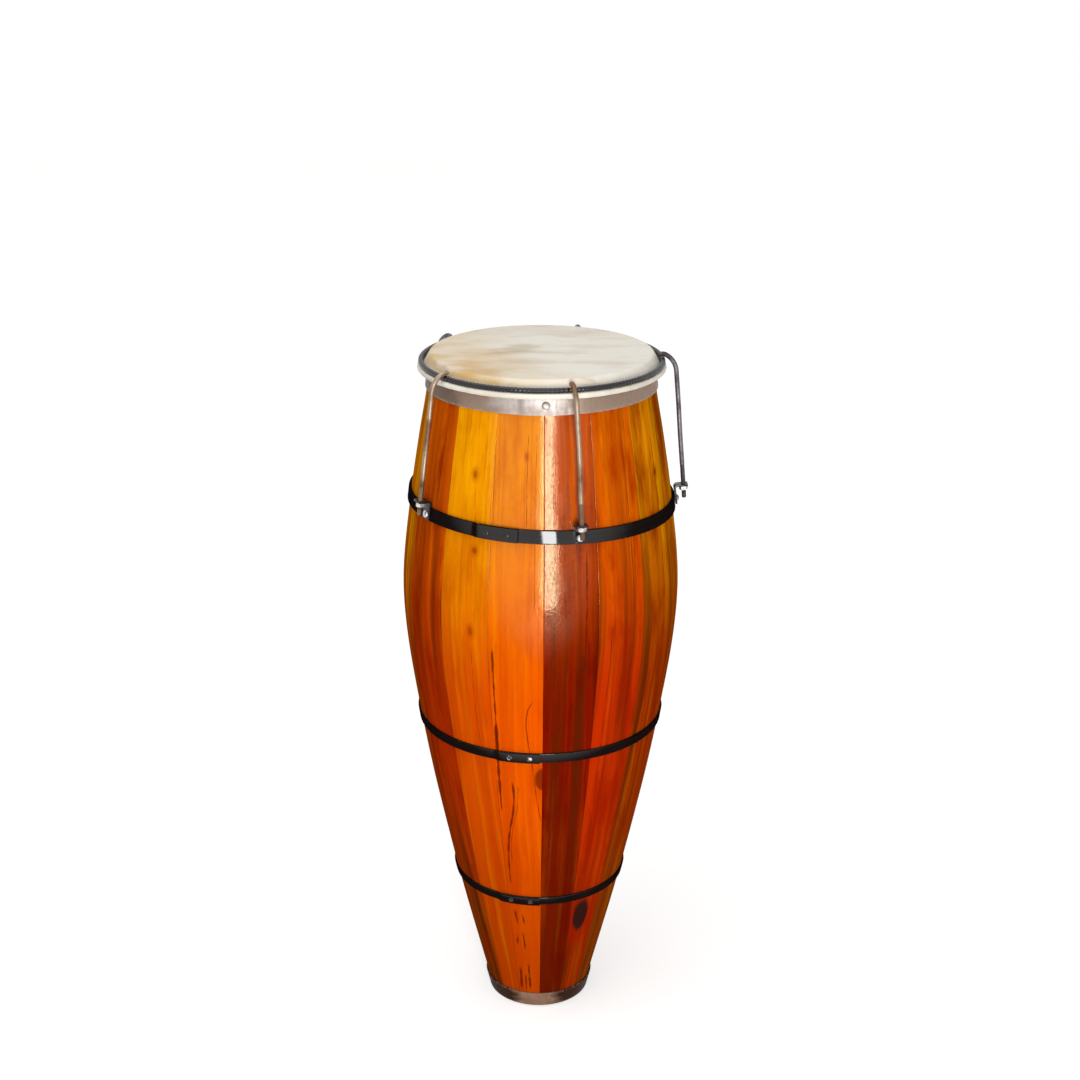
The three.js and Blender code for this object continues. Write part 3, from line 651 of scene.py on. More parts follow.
def wood_material(settings, index, seed):
    """Varnished wood of one stave: its own tone, figure, grain lines, cracks and knots."""
    nodes = Finish(f"varnished_wood_{index:02d}", Specular_Tint=VARNISH_TINT)
    across, height, edge = nodes.attribute("grain")
    side, _, _ = nodes.attribute("side")
    wander = nodes.noise((side * 1.2, height * 7, seed), detail=4, roughness=0.6) - 0.5
    fibre = across + wander * 0.009
    figure = nodes.noise((fibre * 70, height * 1.7, seed + 3), detail=3, roughness=0.55)
    light = nodes.noise((fibre * 120, height * 2.4, seed + 9), detail=3, roughness=0.6)
    lines = nodes.noise((fibre * 420, height * 3.2, seed + 5), detail=3, roughness=0.65)
    smoke = nodes.noise((fibre * 34, height * 8, seed + 14), detail=4, roughness=0.6)
    pores = nodes.noise((fibre * 2200, height * 90, seed + 1), detail=1)
    worn = nodes.noise((side * 3, height * 14, seed + 2), detail=3)
    upper = nodes.smooth(height, *CROWN_RISE)
    grain = nodes.smooth(lines, 0.48, 0.72, 0.0, 0.46) * nodes.smooth(smoke, 0.38, 0.62, 0.25, 1.0)
    joint = nodes.smooth(edge, 0.0001, 0.0009, 1.0, 0.0) * nodes.smooth(worn, 0.4, 0.7, 0.0, 0.7)
    wood = STAVE_WOODS[index - 1]
    belly, crown = (getattr(settings, f"{wood}_{place}") for place in ("belly", "crown"))
    deep = toned(belly, 0.62, 0.42, 0.5)
    if wood in PALE_WOODS:
        flame, foot, shade, strength = toned(crown, 1.1, 1.35, 1.0), toned(belly, 0.68), deep, 0.4
    else:
        flame, shade, strength = toned(crown, 1.4, 2.1, 1.4), settings.olive, 0.8
        other, share = (settings.olive, 0.45) if wood in RED_WOODS else (settings.moss, 0.7)
        foot = between(belly, other, share)
    coats = [
        (nodes.smooth(height, *FOOT_FALL), foot),
        (upper, crown),
        (nodes.smooth(light, 0.48, 0.68, 0.0, 0.6) * (upper * 0.8 + 0.2), flame),
        (nodes.smooth(figure, 0.4, 0.68, 0.0, strength) * (1.0 - upper * 0.6), shade),
        (nodes.smooth(smoke, 0.45, 0.72, 0.0, strength), deep),
        (grain, deep),
        (nodes.smooth(pores, 0.6, 0.75, 0.0, 0.12), settings.knot_colour),
    ]
    for i, crack in enumerate(STAVE_CRACKS.get(index, ())):
        mask = crack_mask(nodes, side, height, seed + i, *crack)
        coats.append((mask * 0.85, settings.crack_colour))
    for *knot, darkness in STAVE_KNOTS.get(index, ()):
        distance = knot_distance(nodes, side + wander * 0.1, height, *knot) + (smoke - 0.5) * 0.8
        heart = settings.knot_colour if darkness > LARGE_KNOT else settings.crack_colour
        coats.append((nodes.smooth(distance, 0.9, 2.6, 0.4, 0.0), deep))
        coats.append((nodes.smooth(distance, 0.7, 1.05, darkness, 0.0), heart))
    coats.append((joint, settings.joint_colour))
    flecks = nodes.noise((across * 330, height * 210, seed + 4), detail=3, roughness=0.65)
    gloss = nodes.smooth(nodes.facing(), 0.045, 0.13, 0.6, 0.0)
    gloss = gloss * nodes.smooth(flecks, 0.36, 0.56, 0.4, 1.0)
    peel = nodes.noise((across * 420, height * 300, seed), detail=3, roughness=0.6)
    ripple = nodes.noise((across * 60, height * 25, seed + 6), detail=1)
    bloom = nodes.noise((side * 1.5, height * 22, seed + 7), detail=3)
    return nodes.patterned(
        Base_Color=nodes.layers(belly, *coats),
        Specular_IOR_Level=gloss,
        Roughness=nodes.smooth(peel, 0.3, 0.7, 0.05, 0.11) + nodes.smooth(bloom, 0.45, 0.75, 0.0, 0.12),
        Normal=nodes.bump(peel + lines * 0.3 + ripple * 1.5, 0.0001),
    )


class ATABAQUE_OT_staves(bpy.types.Operator):
    """Build the sixteen staves of the shell"""

    bl_idname = "atabaque.staves"
    bl_label = "Staves"

    def execute(self, context):
        settings = context.scene.atabaque_staves
        tree = stave_tree()
        levels = np.linspace(0, shell_height, OUTLINE_LEVELS)
        for i in range(len(STAVE_WOODS)):
            mesh = grow(tree, settings, {
                "Start bearing": settings.joint_bearing + i * STAVE_SPAN,
                "Span": STAVE_SPAN,
                "Mouth height": shell_height,
                "Seed": float(i),
                "Material": wood_material(settings, i + 1, SEED_STEP * i),
            }, line_mesh([(shell_radius(level) - SNUG, 0, level) for level in levels]))
            add_piece(f"stave_wood_{i + 1:02d}", mesh, "shell", "varnished_wood", f"stave_{i + 1:02d}")
        return {"FINISHED"}


# Hoops and rivets

HOOP_CORNER_POINTS = 5
HOOP_ROWS = 420
HOOP_SEED_STEP = 3.1
RIVET_SEGMENTS = 28
RIVET_RINGS = 16


def hoop_tree():
    """A flat band with rounded edges, wound once round the shell and on over its own start."""
    nodes, given = geometry_tree("lapped_hoop", (
        "Radius", "Height", "Slope", "Width", "Thickness", "Edge rounding", "Lap bearing", "Lap length",
        "Lap step", "Tilt", "Dents", "Seed",
    ))
    tube, number, share = swept_tube(nodes, 4 * HOOP_CORNER_POINTS, HOOP_ROWS)
    corner = nodes.math("FLOOR", (number + 0.5) / HOOP_CORNER_POINTS)
    step = (number - corner * HOOP_CORNER_POINTS) / (HOOP_CORNER_POINTS - 1)
    quarter = math.pi / 2
    facing = (corner + 0.5) * quarter
    turn = (corner + step) * quarter
    rounding = given["Edge rounding"]
    rise = nodes.math("SIGN", nodes.cosine(facing)) * (given["Width"] * 0.5 - rounding)
    rise = rise + rounding * nodes.cosine(turn)
    out = nodes.math("SIGN", nodes.sine(facing)) * (given["Thickness"] * 0.5 - rounding)
    out = out + rounding * nodes.sine(turn) - given["Thickness"] * 0.5
    lap = given["Lap length"] / given["Radius"]
    sweep = share * (lap + TURN)
    step_turn = given["Lap step"] / given["Radius"]
    climb = nodes.clamp((sweep - TURN + step_turn) / step_turn)
    climb = climb * climb * (3.0 - climb * 2) * (given["Thickness"] + SNUG)
    bearing = given["Lap bearing"] - lap * 0.5 + sweep
    dent = nodes.noise((nodes.sine(bearing) * 9, nodes.cosine(bearing) * 9, given["Seed"]))
    out = out + climb + (dent - 0.5) * given["Dents"]
    slant = nodes.math("SQRT", given["Slope"] * given["Slope"] + 1.0)
    radius = given["Radius"] + (rise * given["Slope"] + out) / slant
    height = given["Height"] + (rise - out * given["Slope"]) / slant
    lean = nodes.math("TANGENT", given["Tilt"])
    x = radius * nodes.sine(bearing)
    shift = given["Slope"] * lean * given["Radius"]
    place = nodes.vector(x - shift, radius * nodes.cosine(bearing) * -1, height - x * lean)
    marked = store(nodes, tube, "band", sweep * given["Radius"], rise / given["Width"])
    return close_tree(nodes, given, shape(nodes, marked, place))


def rivet_tree():
    """A rivet, a dome on a shank, on each point, turned to the point's axis."""
    nodes, given = geometry_tree("rivets", (
        "Rivet radius", "Rivet height", "Rivet shank", "Shank length",
    ))
    inputs = {"Segments": RIVET_SEGMENTS, "Rings": RIVET_RINGS, "Radius": 1.0}
    ball = nodes.field("GeometryNodeMeshUVSphere", inputs)
    x, y, z = nodes.parts(nodes.field("GeometryNodeInputPosition"))
    below = nodes.math("LESS_THAN", z, -0.01)
    pinch = given["Rivet shank"] / nodes.distance(x, y)
    width = given["Rivet radius"] + (pinch - given["Rivet radius"]) * below
    tall = given["Rivet height"] + (given["Shank length"] - given["Rivet height"]) * below
    rivet = shape(nodes, ball, nodes.vector(x * width, y * width, z * tall))
    axis = nodes.add("GeometryNodeInputNamedAttribute", {"Name": "axis"}, data_type="FLOAT_VECTOR")
    turn = nodes.add("FunctionNodeAlignRotationToVector", {"Vector": axis.outputs[0]}, axis="Z")
    points = nodes.field("GeometryNodeMeshToPoints", {"Mesh": given["Geometry"]})
    inputs = {"Points": points, "Instance": rivet, "Rotation": turn.outputs[0]}
    return close_tree(nodes, given, nodes.field("GeometryNodeInstanceOnPoints", inputs))


def steel_material(settings, name, steel, stain, highlight_place, highlight_half, **values):
    """Bare galvanised band: brushed up and down, brown stain with a painted highlight of bright steel in
    front, and darker towards the left.
    """
    nodes = Finish(name, **values)
    along, across, _ = nodes.attribute("band")
    x, y, _ = nodes.place()
    streak = nodes.noise((along * 260, across * 1.4, 1.0), detail=4, roughness=0.6)
    cloud = nodes.noise((along * 24, across * 1.2, 4.0), detail=4)
    spot = nodes.noise((along * 420, across * 9, 7.0), detail=2)
    rim = nodes.smooth(nodes.math("ABSOLUTE", across), 0.36, 0.5)
    away = nodes.math("ABSOLUTE", x - highlight_place) + (cloud - 0.5) * 0.05
    # Painted highlight: a patch of bright steel on the front of the band, where the lamp shines back.
    bright = nodes.smooth(away, highlight_half * 0.5, highlight_half, 1.0, 0.0) * nodes.smooth(y, 0.0, -0.04)
    tone = nodes.layers(
        stain,
        (nodes.smooth(x + (cloud - 0.5) * 0.04, -0.085, -0.115, 0.0, 0.6), settings.foot_stain),
        (bright, steel),
        (nodes.smooth(streak, 0.45, 0.8, 0.0, 0.4), stain),
        (nodes.smooth(cloud, 0.45, 0.75, 0.0, 0.5), stain),
        (nodes.smooth(spot, 0.66, 0.78, 0.0, 0.6), settings.paint),
        (rim * nodes.smooth(streak, 0.4, 0.6, 0.0, 0.5), steel),
    )
    return nodes.patterned(
        Base_Color=tone, Roughness=nodes.smooth(streak + cloud, 0.7, 1.3, 0.42, 0.66),
        Normal=nodes.bump(streak, 0.0002),
    )


def paint_material(settings):
    """Black brushed paint, worn to steel along the edges and in thin upright scratches."""
    nodes = Finish("black_band")
    along, across, _ = nodes.attribute("band")
    brush = nodes.noise((along * 30, across * 14, 2.0), detail=4)
    scratch = nodes.noise((along * 210, across * 0.7, 5.0), detail=2, roughness=0.7)
    chips = nodes.noise((along * 120, across * 4, 9.0), detail=4, roughness=0.65)
    rim = nodes.smooth(nodes.math("ABSOLUTE", across), 0.4, 0.5)
    wear = nodes.clamp(rim * nodes.smooth(chips, 0.58, 0.74) + nodes.smooth(scratch, 0.72, 0.78) * 0.5)
    wear = nodes.clamp(wear + nodes.smooth(chips, 0.74, 0.8))
    warm = (nodes.smooth(brush, 0.35, 0.75), toned(settings.paint, 2))
    return nodes.patterned(
        Base_Color=nodes.layers(settings.paint, warm, (wear * 0.85, settings.worn)),
        Metallic=wear * 0.8,
        Specular_IOR_Level=nodes.smooth(nodes.facing(), 0.06, 0.3, 0.46, 0.0),
        Roughness=nodes.smooth(brush, 0.3, 0.7, 0.03, 0.07),
        Normal=nodes.bump(brush * 0.2 - wear * 0.5, 0.0001),
    )


def chipped_paint(settings, name):
    """Black paint on the brackets and painted rivets, chipped to steel on rubbed places."""
    nodes = Finish(name, Specular_IOR_Level=0.4)
    place = nodes.place()
    brush = nodes.noise(place, 160, detail=4)
    chips = nodes.noise(place, 420, detail=4, roughness=0.65)
    wear = nodes.smooth(chips, 0.64, 0.74)
    warm = (nodes.smooth(brush, 0.35, 0.75), toned(settings.paint, 2))
    return nodes.patterned(
        Base_Color=nodes.layers(settings.paint, warm, (wear * 0.7, settings.worn)),
        Roughness=nodes.smooth(brush, 0.3, 0.7, 0.16, 0.3),
        Normal=nodes.bump(brush - wear * 0.5, 0.0003),
    )


def metal_material(name, main, other, roughness, scale):
    """Plain metal with soft cloudy stains and fine pitting, on the object's own coordinates."""
    nodes = Finish(name, Metallic=0.8)
    place = nodes.place()
    cloud = nodes.noise(place, scale, detail=4)
    pit = nodes.noise(place, scale * 9, detail=3, roughness=0.6)
    stains = (nodes.smooth(cloud, 0.42, 0.7), other), (nodes.smooth(pit, 0.55, 0.75, 0.0, 0.5), other)
    return nodes.patterned(
        Base_Color=nodes.layers(main, *stains),
        Roughness=nodes.smooth(pit + cloud, 0.7, 1.3, roughness - 0.1, roughness + 0.15),
        Normal=nodes.bump(pit, 0.0002),
    )


class ATABAQUE_OT_hoops(bpy.types.Operator):
    """Build the five hoops with their laps"""

    bl_idname = "atabaque.hoops"
    bl_label = "Hoops"

    def execute(self, context):
        settings = context.scene.atabaque_hoops
        tree = hoop_tree()
        paint = paint_material(settings)
        # The bare hoops get a painted highlight of bright steel on their fronts.
        bare = {
            "mouth": steel_material(
                settings, "bare_steel", settings.steel, settings.stain,
                highlight_place=-0.01, highlight_half=0.06, Metallic=0.75,
            ),
            "foot": steel_material(
                settings, "foot_steel", settings.foot_steel, settings.foot_stain,
                highlight_place=-0.002, highlight_half=0.036, Metallic=0.1, Specular_IOR_Level=0.04,
            ),
        }
        for i, (name, hoop) in enumerate(HOOPS.items()):
            radius, height, slope = hoop_line(name)
            mesh = grow(tree, settings, {
                "Radius": radius,
                "Height": height,
                "Slope": slope,
                "Width": hoop.width * MM,
                "Thickness": hoop.thickness * MM + FIT - SNUG,
                "Lap bearing": math.radians(hoop.lap_bearing),
                "Tilt": math.radians(hoop.tilt),
                "Seed": HOOP_SEED_STEP * i,
                "Material": bare.get(name, paint),
            })
            add_piece(f"{name}_band", mesh, "shell", hoop.slot, f"{name}_hoop")
        return {"FINISHED"}


def rivet_points(places):
    """A mesh of bare points that carry the axes of their rivets."""
    mesh = plain_mesh([place for place, _ in places])
    axes = mesh.attributes.new("axis", "FLOAT_VECTOR", "POINT")
    axes.data.foreach_set("vector", [value for _, axis in places for value in axis])
    return mesh


def nut_line(station):
    """Middle of a station's nut, and the direction up its rod."""
    joint = next(joint for joint in frame["joints"] if joint["name"] == f"{station}_nut_turn")
    return Vector(joint["pos_m"]), Vector(joint["axis"]).normalized()


class ATABAQUE_OT_rivets(bpy.types.Operator):
    """Build the rivets of the hoops' laps and of the brackets"""

    bl_idname = "atabaque.rivets"
    bl_label = "Rivets"

    def execute(self, context):
        settings = context.scene.atabaque_hoops
        tree = rivet_tree()
        finishes = {
            "mouth": metal_material("steel_rivet", settings.steel, settings.stain, 0.4, 120),
            "foot": metal_material("foot_rivet", settings.foot_steel, settings.foot_stain, 0.4, 120),
            "middle": metal_material("rubbed_rivet", settings.paint, settings.zinc, 0.4, 260),
        }
        painted = chipped_paint(settings, "black_rivet")
        for name, hoop in HOOPS.items():
            thickness = hoop.thickness * MM
            span = settings.lap_length / hoop_line(name)[0]
            shares = [(i + 0.5) / hoop.rivets - 0.5 for i in range(hoop.rivets)]
            bearings = [math.radians(hoop.lap_bearing) + span * share for share in shares]
            radius = settings.mouth_rivet_radius if name == "mouth" else settings.rivet_radius
            mesh = grow(tree, settings, {
                "Rivet radius": radius,
                "Shank length": 2 * thickness,
                "Material": finishes.get(name, painted),
            }, rivet_points([on_hoop(name, bearing, thickness + FIT) for bearing in bearings]))
            nodes = [f"{name}_hoop_rivet_{i + 1}" for i in range(hoop.rivets)]
            add_piece(f"{name}_rivets", mesh, "shell", hoop.slot, *nodes)
        places = []
        for station in STATIONS:
            low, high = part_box(f"bracket_rivet_{station}")
            middle = (low + high) / 2
            bearing = math.atan2(middle.x, -middle.y)
            places.append(on_hoop("tension", bearing, BRACKET_THICKNESS + 2 * FIT))
        mesh = grow(tree, settings, {
            "Rivet radius": settings.bracket_rivet_radius,
            "Rivet height": settings.bracket_rivet_height,
            "Shank length": HOOPS["tension"].thickness * MM + BRACKET_THICKNESS,
            "Material": metal_material("bright_rivet", settings.zinc, settings.worn, 0.25, 90),
        }, rivet_points(places))
        nodes = [f"bracket_rivet_{station}" for station in STATIONS]
        add_piece("bracket_rivets", mesh, "shell", "zinc", *nodes)
        return {"FINISHED"}


# Head

RING_SIDES = 18
RIB_ROWS = 9
RIB_SLANT = 0.7
FLESH_ROWS = 240
HIDE_SEGMENTS = 456
# Points of the hide's middle line: over the mouth, round the bearing edge, down the collar, in the roll
MOUTH_POINTS, EDGE_POINTS, COLLAR_POINTS, ROLL_POINTS = 40, 8, 7, 26
PLEAT_DROP = 9 * MM
LUMP_SEED = 11
LUMP_WAVES = range(2, 26)
LUMP_DEPTH = 0.25 * MM
SAG_DEPTH = 0.12 * MM
SAG_REACH = 0.05
SMUDGE_PLACE = (-0.034, 0.005)


def ring_tree(rows):
    """A ring of round rod with slanting ribs, closed on itself."""
    nodes, given = geometry_tree("ribbed_ring", (
        "Radius", "Height", "Rod radius", "Rib height", "Ribs", "Slant",
    ))
    tube, number, share = swept_tube(nodes, RING_SIDES, rows, capped=False)
    turn = number * (TURN / RING_SIDES)
    bearing = share * TURN
    wave = nodes.cosine(bearing * given["Ribs"] + nodes.sine(turn) * given["Slant"]) * 0.5 + 0.5
    rod = given["Rod radius"] - given["Rib height"] * (1.0 - wave ** 1.6)
    radius = given["Radius"] + rod * nodes.sine(turn)
    height = given["Height"] + rod * nodes.cosine(turn)
    marked = store(nodes, tube, "rib", wave)
    ring = shape(nodes, marked, turned_place(nodes, radius, bearing, height))
    closed = nodes.field("GeometryNodeMergeByDistance", {"Geometry": ring, "Distance": 0.01 * MM})
    return close_tree(nodes, given, closed)


def iron_material(settings):
    """Black iron with a purple cast, in paler patches, with a painted glint on the tops of its ribs."""
    nodes = Finish("black_iron", Specular_IOR_Level=0.45)
    wave, _, _ = nodes.attribute("rib")
    cloud = nodes.noise(nodes.place(), 90, detail=4)
    # Painted glint: the rib tops turn to a paler iron, as where they catch the light; the paler iron
    # also makes random patches.
    painted_rib_glint = nodes.smooth(wave, 0.7, 1.0) * nodes.smooth(cloud, 0.5, 0.7)
    pale_iron_and_glint = toned(settings.iron, 5)
    coats = (nodes.smooth(cloud, 0.4, 0.75, 0.0, 0.3), pale_iron_and_glint), (painted_rib_glint * 0.4, pale_iron_and_glint)
    return nodes.patterned(
        Base_Color=nodes.layers(settings.iron, *coats),
        Roughness=nodes.smooth(cloud, 0.3, 0.7, 0.05, 0.12),
        Normal=nodes.bump(cloud, 0.0001),
    )


class ATABAQUE_OT_rings(bpy.types.Operator):
    """Build the ribbed crown ring and the flesh hoop inside the hide's roll"""

    bl_idname = "atabaque.rings"
    bl_label = "Head rings"

    def execute(self, context):
        settings = context.scene.atabaque_head
        hoops = context.scene.atabaque_hoops
        radius, height = ring_centre("crown_ring", CROWN_ROD_RADIUS)
        ribs = round(TURN * radius / settings.rib_pitch)
        mesh = grow(ring_tree(ribs * RIB_ROWS), settings, {
            "Radius": radius, "Height": height, "Rod radius": CROWN_ROD_RADIUS,
            "Ribs": float(ribs), "Slant": RIB_SLANT, "Material": iron_material(settings),
        })
        add_piece("ribbed_crown_ring", mesh, "head", "black_iron", "crown_ring")
        radius, height = ring_centre("flesh_hoop", FLESH_ROD_RADIUS)
        mesh = grow(ring_tree(FLESH_ROWS), settings, {
            "Radius": radius, "Height": height, "Rod radius": FLESH_ROD_RADIUS,
            "Rib height": 0.0, "Ribs": 1.0, "Slant": 0.0,
            "Material": metal_material("flesh_iron", hoops.stain, hoops.paint, 0.5, 60),
        })
        add_piece("flesh_ring", mesh, "head", "flesh_iron", "flesh_hoop")
        return {"FINISHED"}


def hide_path(settings):
    """The middle line of the hide, from the axis over the bearing edge and round the flesh hoop, with
    the directions out of its face, as (radius, height) pairs."""
    bevel = bpy.context.scene.atabaque_staves.mouth_bevel
    half = settings.hide_thickness / 2
    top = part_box("hide")[1].z
    edge = np.array((float(shell_radius(shell_height)) - bevel, shell_height - bevel))
    edge_radius = top - half - edge[1]
    flesh = np.array(ring_centre("flesh_hoop", FLESH_ROD_RADIUS))
    roll_radius = FLESH_ROD_RADIUS + FIT + half
    span = flesh - edge
    distance = np.hypot(*span)
    lean = math.atan2(span[1], span[0]) - math.asin((edge_radius + roll_radius) / distance)
    leave = lean + math.pi / 2
    points, outs = [], []
    for radius in np.linspace(0, edge[0], MOUTH_POINTS, endpoint=False):
        points.append((radius, top - half))
        outs.append((0.0, 1.0))
    for turn in np.linspace(math.pi / 2, leave, EDGE_POINTS):
        out = np.array((math.cos(turn), math.sin(turn)))
        points.append(edge + edge_radius * out)
        outs.append(out)
    collar_start = points[-1]
    collar_end = flesh - roll_radius * np.array((math.cos(leave), math.sin(leave)))
    for share in np.linspace(0, 1, COLLAR_POINTS)[1:-1]:
        points.append(collar_start + (collar_end - collar_start) * share)
        outs.append(outs[-1])
    for turn in np.linspace(leave + math.pi, TURN + settings.roll_end, ROLL_POINTS):
        out = np.array((math.cos(turn), math.sin(turn)))
        points.append(flesh + roll_radius * out)
        outs.append(-out)
    return np.array(points), np.array(outs)


def hide_mesh(settings, material):
    """The hide as one closed skin, with small pleats and lumps in its roll and a faint sag on top."""
    points, outs = hide_path(settings)
    count = len(points)
    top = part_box("hide")[1].z
    fall = np.clip((top - points[:, 1]) / PLEAT_DROP, 0, 1)
    bearings = np.arange(HIDE_SEGMENTS) * (TURN / HIDE_SEGMENTS)
    draw = np.random.default_rng(LUMP_SEED)
    lumps = np.zeros(HIDE_SEGMENTS)
    for wave in LUMP_WAVES:
        lumps += np.sin(wave * bearings + draw.uniform(0, TURN)) * draw.uniform(0.3, 1) / wave ** 0.5
    lumps /= np.abs(lumps).max()
    pleats = np.abs(np.sin(bearings * settings.pleat_count / 2 + 1.4 * lumps)) ** 0.6
    half = settings.hide_thickness / 2
    vertices = []
    for side in (1, -1):
        for i in range(1, count):
            loose = fall[i] ** 2 * (settings.pleat_depth * (pleats - 0.8) + LUMP_DEPTH * lumps)
            sag = (1 - fall[i]) * SAG_DEPTH * (lumps - 1) * min(1, points[i, 0] / SAG_REACH)
            away = side * half - loose
            radius = points[i, 0] + outs[i, 0] * away
            height = points[i, 1] + outs[i, 1] * away + sag
            radius, height = (np.broadcast_to(value, HIDE_SEGMENTS) for value in (radius, height))
            vertices.append(np.stack((radius * np.sin(bearings), -radius * np.cos(bearings), height), 1))
    skin = np.concatenate(vertices)
    poles = len(skin)
    centre = [(0, 0, points[0, 1] + side * half) for side in (1, -1)]
    rows = count - 1
    faces = []
    order = list(range(rows)) + list(range(2 * rows - 1, rows - 1, -1))
    for i in range(HIDE_SEGMENTS):
        j = (i + 1) % HIDE_SEGMENTS
        faces.append((poles, order[0] * HIDE_SEGMENTS + i, order[0] * HIDE_SEGMENTS + j))
        for near, far in zip(order, order[1:]):
            a, b = near * HIDE_SEGMENTS, far * HIDE_SEGMENTS
            faces.append((a + i, b + i, b + j, a + j))
        faces.append((poles + 1, order[-1] * HIDE_SEGMENTS + j, order[-1] * HIDE_SEGMENTS + i))
    return plain_mesh([*skin, *centre], faces=faces, material=material)


def hide_material(settings):
    """Cream rawhide: tan streaks from side to side, ochre at the left front, pores and a soft shine."""
    nodes = Finish(
        "rawhide", Specular_IOR_Level=0.35, Subsurface_Weight=0.08,
        Subsurface_Radius=(0.004, 0.0025, 0.0015),
    )
    x, y, z = nodes.place()
    wander = nodes.noise((x * 9, y * 9, 2.0), detail=3) - 0.5
    streak = nodes.noise((x * 11, (y + wander * 0.06) * 42, z * 40), detail=4, roughness=0.55)
    cloud = nodes.noise((x * 14, y * 26, z * 30), detail=4)
    fine = nodes.noise((x * 70, y * 420, z * 160), detail=3)
    pores = nodes.noise((x * 900, y * 900, z * 900), detail=2)
    smudge = nodes.distance((x - SMUDGE_PLACE[0]) * 26, (y - SMUDGE_PLACE[1]) * 40)
    smudge = smudge + wander * 2 + (0.5 - cloud) * 2.4
    top = nodes.smooth(z, 0.888, 0.894)
    left = x * -0.9 - y * 0.43 + wander * 0.08
    wash = nodes.smooth(left, -0.01, 0.13) * nodes.smooth(cloud, 0.32, 0.6, 0.3, 0.65)
    back = nodes.smooth(y + wander * 0.1, 0.03, 0.11, 0.0, 0.2)
    front = x * -0.76 - y * 0.65 + wander * 0.03
    edge = nodes.smooth(front, 0.09, 0.138) * nodes.smooth(cloud, 0.36, 0.55)
    rim = nodes.smooth(y * -1 + wander * 0.01, 0.118, 0.136) * nodes.smooth(streak, 0.5, 0.62)
    tone = nodes.layers(
        settings.hide,
        (nodes.smooth(streak, 0.5, 0.85, 0.0, 0.45), settings.tan),
        (nodes.smooth(cloud, 0.45, 0.8, 0.0, 0.5), settings.tan),
        (nodes.smooth(fine, 0.5, 0.8, 0.0, 0.12), settings.tan),
        (nodes.smooth(smudge, 0.3, 1.2, 0.6, 0.0), settings.tan),
        (wash * top, settings.ochre),
        (back * top, settings.tan),
        (edge * top * 0.5, settings.ochre),
        (rim * top * 0.6, settings.ochre),
    )
    return nodes.patterned(
        Base_Color=tone, Roughness=nodes.smooth(streak, 0.3, 0.7, 0.42, 0.6),
        Normal=nodes.bump(fine * 0.6 + pores * 0.25 + streak, 0.0004),
    )


class ATABAQUE_OT_hide(bpy.types.Operator):
    """Build the rawhide, drawn over the mouth and rolled round the flesh hoop"""

    bl_idname = "atabaque.hide"
    bl_label = "Hide"

    def execute(self, context):
        settings = context.scene.atabaque_head
        mesh = hide_mesh(settings, hide_material(settings))
        piece = add_piece("drum_hide", mesh, "head", "rawhide", "hide")
        return {"FINISHED"}


# Hooks, nuts and brackets

HOOK_SIDES = 20
THREAD_ROWS = 330
HOOK_ROWS = THREAD_ROWS + 130
# Points of a hook's line: along the rod, round the shoulder, over the ring
ROD_POINTS, SHOULDER_POINTS, BEND_POINTS = 60, 24, 40
STRAIGHT_END = 30 * MM
STRAYS = {"front": 1.0, "right": -0.5, "rear_right": 0.8, "rear_left": -0.7, "left": 0.5}
# The other rods take the darker copy of the rod steel, as painted shade.
PALE_RODS = ("front", "left")
NUT_SIDES = 96
NUT_CONE = math.radians(30)
NUT_FACE = 0.96
NUT_LEAD = 0.5 * MM
MERGE = 0.02 * MM
FLAT_ANGLE = math.radians(1)
CUT_ANGLE = math.radians(50)


def hook_tree():
    """A round rod along a line in an upright plane, threaded at its lower end and domed at its tip."""
    nodes, given = geometry_tree("hook_rod", (
        "Length", "Rod radius", "Thread length", "Thread pitch", "Thread depth", "Bearing", "Lean",
    ))
    tube, number, share = swept_tube(nodes, HOOK_SIDES, HOOK_ROWS)
    turn = number * (TURN / HOOK_SIDES)
    row = share * HOOK_ROWS
    threaded = nodes.math("MINIMUM", row / THREAD_ROWS, 1.0) * given["Thread length"]
    plain = nodes.math("MAXIMUM", row - THREAD_ROWS, 0.0) / (HOOK_ROWS - THREAD_ROWS)
    run = threaded + plain * (given["Length"] - given["Thread length"])
    line = nodes.add("GeometryNodeMeshToCurve", {"Mesh": given["Geometry"]}).outputs[0]
    sample = nodes.add("GeometryNodeSampleCurve", {"Curves": line, "Length": run}, mode="LENGTH")
    level = nodes.math("SQRT", 1.0 - given["Lean"] * given["Lean"])
    side = nodes.vector(
        nodes.cosine(given["Bearing"]) * level, nodes.sine(given["Bearing"]) * level, given["Lean"] * -1,
    )
    out = nodes.vector_math("CROSS_PRODUCT", side, sample.outputs["Tangent"])
    coil = (run / given["Thread pitch"] - turn / TURN) % 1.0
    groove = nodes.math("ABSOLUTE", coil * 2 - 1.0)
    thread_end = given["Thread length"]
    fade = nodes.smooth(run, thread_end - given["Thread pitch"] * 3, thread_end, 1.0, 0.0)
    start = nodes.smooth(run, 0.0, given["Thread pitch"], 0.72, 1.0)
    rod = given["Rod radius"]
    dome = nodes.clamp((run - given["Length"] + rod) / rod, 0.0, 0.97)
    thick = (rod - given["Thread depth"] * groove * fade) * start * nodes.math("SQRT", 1.0 - dome * dome)
    first = nodes.vector_math("SCALE", out, Scale=thick * nodes.cosine(turn))
    second = nodes.vector_math("SCALE", side, Scale=thick * nodes.sine(turn))
    place = nodes.vector_math("ADD", nodes.vector_math("ADD", first, second), sample.outputs["Position"])
    marked = store(nodes, tube, "rod", run, groove * fade, turn)
    return close_tree(nodes, given, shape(nodes, marked, place))


